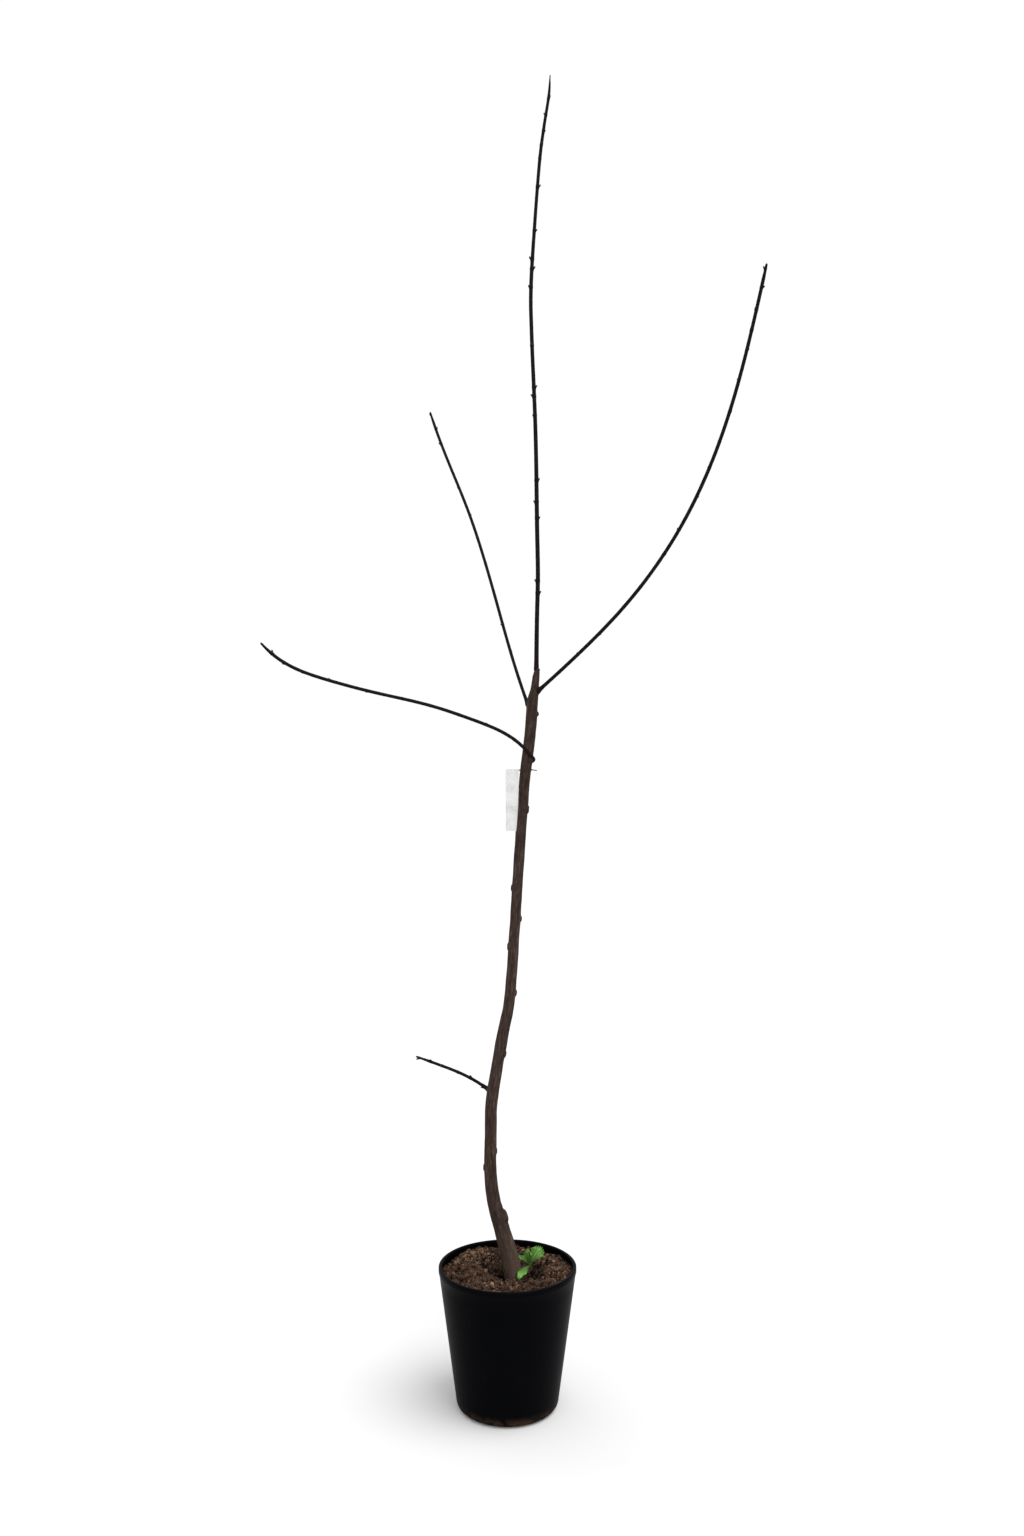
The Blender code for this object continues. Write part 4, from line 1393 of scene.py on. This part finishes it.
def loose_place(chance):
    """A random place on the mix, clear of the trunk and seldom down in a gap."""
    while True:
        reach = LOOSE_RADIUS * math.sqrt(chance.random())
        turn = chance.uniform(0, 2 * math.pi)
        x = reach * math.cos(turn)
        y = reach * math.sin(turn)
        clear = math.hypot(x - TRUNK_FOOT[0], y - TRUNK_FOOT[1]) > TRUNK_FOOT_RADIUS
        sunk = clod_gap(x, y) + small_hollow(x, y) / -0.008
        if clear and sunk < chance.random():
            return x, y


def loose_tone(chance, x, y, middle, spread):
    """A random tone for a loose bit, with painted shade that darkens it where it lies lower, in
    gaps and hollows.
    """
    tone = chance.gauss(middle, spread) + dryness_and_hollow_shade(x, y) - 0.34 * clod_gap(x, y)
    tone += 0.26 * noise.noise(Vector((x, y, 0.6)) * 42)
    return min(max(tone + small_hollow(x, y) * 45, 0.0), 1.0)


def random_turn(chance):
    """A random rotation as rows."""
    angles = (chance.uniform(*ANY_TURN), chance.uniform(*ANY_TURN), chance.uniform(*ANY_TURN))
    return np.array(Euler(angles).to_matrix())


def clod_maker():
    """Larger rough clods, half sunk in the mix: their faces, and what shapes each of them."""
    bm = bmesh.new()
    bmesh.ops.create_icosphere(bm, subdivisions=2, radius=1.0)
    points, faces = shape_arrays(bm)

    def shape(chance, x, y):
        size = 0.0020 + 0.0036 * chance.random() ** 1.8
        shift = Vector((chance.uniform(-50, 50), 0.0, 0.0))
        rough = [1 + 0.5 * noise.noise(Vector(point) * 1.9 + shift) for point in points]
        stretch = np.array([1.0, chance.uniform(0.55, 0.95), chance.uniform(0.5, 0.8)])
        turned = (points * np.array(rough)[:, None] * stretch * size) @ random_turn(chance)
        return turned + np.array([x, y, crumbly_height(x, y) + size * 0.15])

    return faces, shape


def crumb_maker():
    """Small uneven crumbs, most of them very small."""
    bm = bmesh.new()
    bmesh.ops.create_icosphere(bm, subdivisions=1, radius=1.0)
    points, faces = shape_arrays(bm)
    uneven = np.random.default_rng(31)

    def shape(chance, x, y):
        size = 0.0006 + 0.0021 * chance.random() ** 2.6
        stretch = np.array([1.0, chance.uniform(0.6, 1.0), chance.uniform(0.5, 0.9)])
        rough = 1 + uneven.uniform(-0.24, 0.24, (len(points), 1))
        lift = crumbly_height(x, y) + size * chance.uniform(-0.1, 0.6)
        turned = (points * rough * stretch * size) @ random_turn(chance)
        return turned + np.array([x, y, lift])

    return faces, shape


def chip_maker():
    """Flat bark chips that lie nearly level."""
    bm = bmesh.new()
    bmesh.ops.create_cone(bm, cap_ends=True, segments=7, radius1=1.0, radius2=0.86, depth=0.42)
    points, faces = shape_arrays(bm)
    uneven = np.random.default_rng(57)

    def shape(chance, x, y):
        size = 0.0013 + 0.0032 * chance.random() ** 2
        stretch = np.array([1.0, chance.uniform(0.3, 0.8), chance.uniform(0.5, 0.9)])
        rough = 1 + uneven.uniform(-0.28, 0.28, (len(points), 1))
        angles = (chance.gauss(0, 0.35), chance.gauss(0, 0.35), chance.uniform(*ANY_TURN))
        turn = np.array(Euler(angles).to_matrix()).T
        lift = crumbly_height(x, y) + 0.0006
        return (points * rough * stretch * size) @ turn + np.array([x, y, lift])

    return faces, shape


def fibre_maker():
    """Thin curved coir fibres that lie on the mix and arch off it a little."""
    bm = bmesh.new()
    bmesh.ops.create_cone(bm, cap_ends=True, segments=3, radius1=1.0, radius2=1.0, depth=1.0)
    rises = [(edge, edge.verts[0].co.z - edge.verts[1].co.z) for edge in bm.edges]
    long_edges = [edge for edge, rise in rises if abs(rise) > 0.5]
    bmesh.ops.subdivide_edges(bm, edges=long_edges, cuts=5)
    points, faces = shape_arrays(bm)
    along = points[:, 2] + 0.5

    def shape(chance, x, y):
        length = 0.004 + 0.017 * chance.random() ** 1.8
        radius = chance.uniform(0.00010, 0.00024)
        heading = chance.uniform(*ANY_TURN)
        curl = chance.gauss(0, 1.1)
        arch = chance.uniform(0.0, 0.22) * length
        bend = heading + curl * (along - 0.5)
        span = (along - 0.5) * length
        middle_x = x + span * np.cos(bend)
        middle_y = y + span * np.sin(bend)
        reach = np.hypot(middle_x, middle_y)
        inward = np.minimum(1.0, FIBRE_RADIUS / np.maximum(reach, WELD_DISTANCE))
        ground = [crumbly_height(*pair) for pair in zip(middle_x * inward, middle_y * inward)]
        taper = radius * (1 - 0.5 * (2 * along - 1) ** 2)
        lift = np.array(ground) + 0.0003 + arch * np.sin(np.pi * along)
        across_x = middle_x * inward - points[:, 0] * taper * np.sin(bend)
        across_y = middle_y * inward + points[:, 0] * taper * np.cos(bend)
        return np.column_stack([across_x, across_y, lift + points[:, 1] * taper])

    return faces, shape


# Loose bits as name, maker, seed, middle and spread of their tones, and how much paler they are
LOOSE_KINDS = (
    ("clod", clod_maker, 19, 0.46, 0.20, -0.08),
    ("crumb", crumb_maker, 31, 0.46, 0.24, -0.06),
    ("chip", chip_maker, 57, 0.50, 0.22, -0.04),
    ("fibre", fibre_maker, 83, 0.58, 0.20, 0.0),
)


class LooseMixOperator(bpy.types.Operator):
    """Strew clods, crumbs, bark chips and coir fibres over the potting mix."""

    bl_idname = "persimmon.loose_mix"
    bl_label = "Loose mix"

    def execute(self, context):
        settings = context.scene.persimmon_mix
        for kind, maker, seed, middle, spread, shift in LOOSE_KINDS:
            faces, shape = maker()
            chance = random.Random(seed)
            shapes = []
            tones = []
            for _ in range(getattr(settings, kind + "s")):
                x, y = loose_place(chance)
                shapes.append(shape(chance, x, y))
                tones.append(loose_tone(chance, x, y, middle, spread))
            name = "mix_" + kind
            shapes = np.array(shapes)
            tones = np.repeat(np.array(tones), shapes.shape[1])
            mesh = mesh_from_arrays(name + "s", shapes, faces, tones)
            material = loose_mix(settings, name, shift)
            add_piece(name + "s", mesh, material, smooth=False)
        return {"FINISHED"}


class SproutOperator(bpy.types.Operator):
    """Build the leafy sprout at the trunk's foot."""

    bl_idname = "persimmon.sprout"
    bl_label = "Sprout"

    def execute(self, context):
        settings = context.scene.persimmon_leaf
        x, y = SPROUT_ROOT
        ground = Vector((x, y, mix_height(x, y)))
        top = ground + UP * (SPROUT_STEM_LENGTH + 0.0015)
        whole = bmesh.new()
        whole.loops.layers.uv.new("surface")
        for index, form in enumerate(SPROUT_LEAVES):
            root = top - UP * SPROUT_STEM_RADIUS * (0.5 + 0.6 * index)
            self.blade(whole, root, form, settings, index)
        foot = (ground - UP * 0.002, SPROUT_FOOT_RADIUS)
        rings = Rings([foot, (top, SPROUT_STEM_RADIUS)], 0.001)
        pour(limb_skin(rings, 14, lambda index, turn: 0.0001 * math.cos(5 * turn)), whole)
        mesh = mesh_of("green_sprout", whole)
        add_piece("green_sprout", mesh, green_leaf(settings), ("foot_sprout",))
        return {"FINISHED"}

    def blade(self, whole, root, form, settings, seed):
        """Add one toothed, pleated blade to the sprout."""
        bm = bmesh.new()
        bm.loops.layers.uv.new("surface")
        bmesh.ops.create_grid(
            bm, x_segments=LEAF_COLUMNS, y_segments=LEAF_ROWS, size=0.5, calc_uvs=True
        )
        level = direction(form.bearing + 90, 0)
        for vertex in bm.verts:
            side = vertex.co.x * 2
            share = vertex.co.y + 0.5
            end = soft_step(share, 0.55, 1.0)
            spread = 0.13 + 0.87 * math.sin(math.pi * min(share * 0.62, 0.5)) ** 1.4
            saw = (share * 7 + seed * 0.3) % 1.0
            spread *= 1 - settings.tooth * abs(side) ** 6 * saw * soft_step(share, 0.15, 0.5)
            spread *= 1 - 0.22 * end**2
            point = 2 * abs((side * 3.3 + seed * 0.37) % 1.0 - 0.5)
            reach = share * form.length * (1 - end * (0.24 * side**2 + settings.tooth * point))
            heading = direction(form.bearing, form.rise - form.droop * share)
            across = level.copy()
            across.rotate(Matrix.Rotation(math.radians(form.roll), 3, heading))
            upper = heading.cross(across)
            fold = abs(side) * form.width * 0.14 * share
            pleat = 0.0006 * math.cos(side * 14.0) * share * (1 - share * 0.3)
            wave = 0.0009 * math.sin(share * 9 + side * 3 + seed) * share
            vertex.co = root + heading * reach + across * side * spread * form.width / 2
            vertex.co += upper * (fold + pleat + wave)
        thicken(bm, LEAF_THICKNESS)
        pour(bm, whole)


class TagOperator(bpy.types.Operator):
    """Build the small blank tag on its tie round the trunk."""

    bl_idname = "persimmon.tag"
    bl_label = "Blank tag"

    def execute(self, context):
        settings = context.scene.persimmon_tag
        axis, radius = place_on(stations_line(TRUNK_STATIONS), TIE_HEIGHT)
        bm = bmesh.new()
        self.tie(bm, radius)
        bmesh.ops.translate(bm, vec=axis, verts=bm.verts)
        tail_turn = Matrix.Rotation(math.radians(12), 4, "Y")
        tail_place = Matrix.Translation(axis + Vector((radius + TIE_TAIL / 2, 0.0, 0.0)))
        self.strip(bm, (TIE_TAIL, TIE_THICKNESS, TIE_WIDTH * 0.4), tail_place @ tail_turn)
        side = Matrix.Translation(axis - Vector((radius, 0.0, 0.0)))
        swing = Matrix.Rotation(math.radians(TAG_SWING), 4, "Z")
        strap = side @ swing @ Matrix.Translation((-TAG_CLEAR, 0.0, 0.0))
        self.strip(bm, (TAG_CLEAR * 2, TIE_THICKNESS * 1.6, TIE_WIDTH * 0.5), strap)
        tie = bm.verts.layers.float.new("tie")
        for vertex in bm.verts:
            vertex[tie] = 1.0
        drop = Vector((-TAG_CLEAR - TAG_WIDTH / 2, 0.0, (TIE_WIDTH - TAG_LENGTH) / 2))
        self.plate(bm, side @ swing @ Matrix.Translation(drop))
        mesh = mesh_of("plain_tag", bm)
        mesh.set_sharp_from_angle(angle=math.radians(35))
        add_piece("plain_tag", mesh, tag_plastic(settings), ("blank_tag",))
        return {"FINISHED"}

    def tie(self, bm, radius):
        """A flat band round the trunk."""
        inner = radius + 0.0005
        outer = inner + TIE_THICKNESS - 0.0002
        half = TIE_WIDTH / 4
        corners = ((inner, -half), (outer, -half), (outer, half), (inner, half))
        points = [bm.verts.new((reach, 0.0, height)) for reach, height in corners]
        edges = [bm.edges.new(pair) for pair in zip(points, points[1:] + points[:1])]
        full_turn(bm, points, edges, TIE_STEPS)

    def strip(self, bm, size, matrix):
        """A small strip with softened edges."""
        made = bmesh.ops.create_cube(bm, size=1.0)
        bmesh.ops.scale(bm, vec=size, verts=made["verts"])
        edges = list({edge for vertex in made["verts"] for edge in vertex.link_edges})
        bmesh.ops.transform(bm, matrix=matrix, verts=made["verts"])
        bmesh.ops.bevel(
            bm, geom=edges, offset=0.00025, offset_type="OFFSET", segments=2, profile=0.5,
            affect="EDGES", material=-1,
        )

    def plate(self, bm, matrix):
        """The tag's plate: a thin sheet with round corners and a slight curl."""
        sheet = bmesh.new()
        bmesh.ops.create_grid(sheet, x_segments=14, y_segments=48, size=0.5)
        for vertex in sheet.verts:
            across = vertex.co.x * TAG_WIDTH
            share = 0.5 - 0.5 * math.cos(math.pi * (vertex.co.y + 0.5))
            down = (share - 0.5) * TAG_LENGTH
            end = TAG_LENGTH / 2 - abs(down)
            inset = 0.0
            if end < TAG_CORNER:
                inset = TAG_CORNER - math.sqrt(TAG_CORNER**2 - (TAG_CORNER - end) ** 2)
            across *= 1 - 2 * inset / TAG_WIDTH
            curl = -0.0016 * math.sin(math.pi * share) - 18.0 * across**2 * (1 - share)
            vertex.co = (across, curl, down)
        thicken(sheet, TAG_THICKNESS)
        bmesh.ops.transform(sheet, matrix=matrix, verts=sheet.verts)
        pour(sheet, bm)


class StudioOperator(bpy.types.Operator):
    """Set the pale floor, the soft lights and the camera."""

    bl_idname = "persimmon.studio"
    bl_label = "Studio"

    def execute(self, context):
        settings = context.scene.persimmon_studio
        bm = bmesh.new()
        bmesh.ops.create_grid(bm, x_segments=2, y_segments=2, size=FLOOR_REACH)
        floor = bpy.data.objects.new("studio_floor", mesh_of("studio_floor", bm))
        floor.data.materials.append(plain_floor(settings))
        context.scene.collection.objects.link(floor)
        self.world(context, settings)
        for name, heading, spread, share in LIGHTS:
            self.light(name, heading, spread, settings.key * share)
        self.camera(context)
        context.scene.view_settings.view_transform = "Standard"
        return {"FINISHED"}

    def world(self, context, settings):
        """Even white light from all round."""
        world = bpy.data.worlds.new("studio_surround")
        world.use_nodes = True
        shade = world.node_tree.nodes["Background"]
        shade.inputs["Color"].default_value = (1.0, 1.0, 1.0, 1.0)
        shade.inputs["Strength"].default_value = settings.sky
        context.scene.world = world

    def light(self, name, heading, spread, strength):
        """A broad even light that comes from this way, as many degrees wide as its spread."""
        data = bpy.data.lights.new(name, "SUN")
        data.angle = math.radians(spread)
        data.energy = strength
        lamp = bpy.data.objects.new(name, data)
        lamp.rotation_euler = Vector(heading).to_track_quat("Z", "Y").to_euler()
        bpy.context.scene.collection.objects.link(lamp)

    def camera(self, context):
        """The camera at the photograph's viewing angle."""
        data = bpy.data.cameras.new("photo_camera")
        data.sensor_width = SENSOR
        data.lens = SENSOR * FOCAL_PIXELS / FRAME_HEIGHT
        camera = bpy.data.objects.new("photo_camera", data)
        camera.location = CAMERA_PLACE
        camera.rotation_euler = (math.radians(90), 0.0, 0.0)
        context.scene.collection.objects.link(camera)
        context.scene.camera = camera


class PersimmonPanel(bpy.types.Panel):
    """Lists the tree's pieces and their settings in the sidebar."""

    bl_idname = "VIEW3D_PT_persimmon"
    bl_label = "Persimmon tree"
    bl_space_type = "VIEW_3D"
    bl_region_type = "UI"
    bl_category = "Persimmon"

    def draw(self, context):
        column = self.layout.column()
        for operator in OPERATORS:
            column.operator(operator.bl_idname)
        for name, group in SETTINGS.items():
            box = self.layout.box()
            settings = getattr(context.scene, name)
            for value in group.__annotations__:
                box.prop(settings, value)


SETTINGS = {
    "persimmon_pot": PotSettings,
    "persimmon_mix": MixSettings,
    "persimmon_bark": BarkSettings,
    "persimmon_leaf": LeafSettings,
    "persimmon_tag": TagSettings,
    "persimmon_studio": StudioSettings,
}
OPERATORS = (
    PotOperator,
    MixOperator,
    LooseMixOperator,
    TrunkOperator,
    LeaderOperator,
    BoughsOperator,
    SproutOperator,
    TagOperator,
    StudioOperator,
)


def register():
    """Register the settings, the operators and the panel."""
    for name, group in SETTINGS.items():
        bpy.utils.register_class(group)
        setattr(bpy.types.Scene, name, bpy.props.PointerProperty(type=group))
    for operator in OPERATORS:
        bpy.utils.register_class(operator)
    bpy.utils.register_class(PersimmonPanel)


def unregister():
    """Take back what register added."""
    bpy.utils.unregister_class(PersimmonPanel)
    for operator in reversed(OPERATORS):
        bpy.utils.unregister_class(operator)
    for name, group in SETTINGS.items():
        delattr(bpy.types.Scene, name)
        bpy.utils.unregister_class(group)


def main():
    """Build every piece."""
    register()
    bpy.ops.persimmon.pot()
    bpy.ops.persimmon.mix()
    bpy.ops.persimmon.loose_mix()
    bpy.ops.persimmon.trunk()
    bpy.ops.persimmon.leader()
    bpy.ops.persimmon.boughs()
    bpy.ops.persimmon.sprout()
    bpy.ops.persimmon.tag()
    bpy.ops.persimmon.studio()


if __name__ == "__main__":
    main()
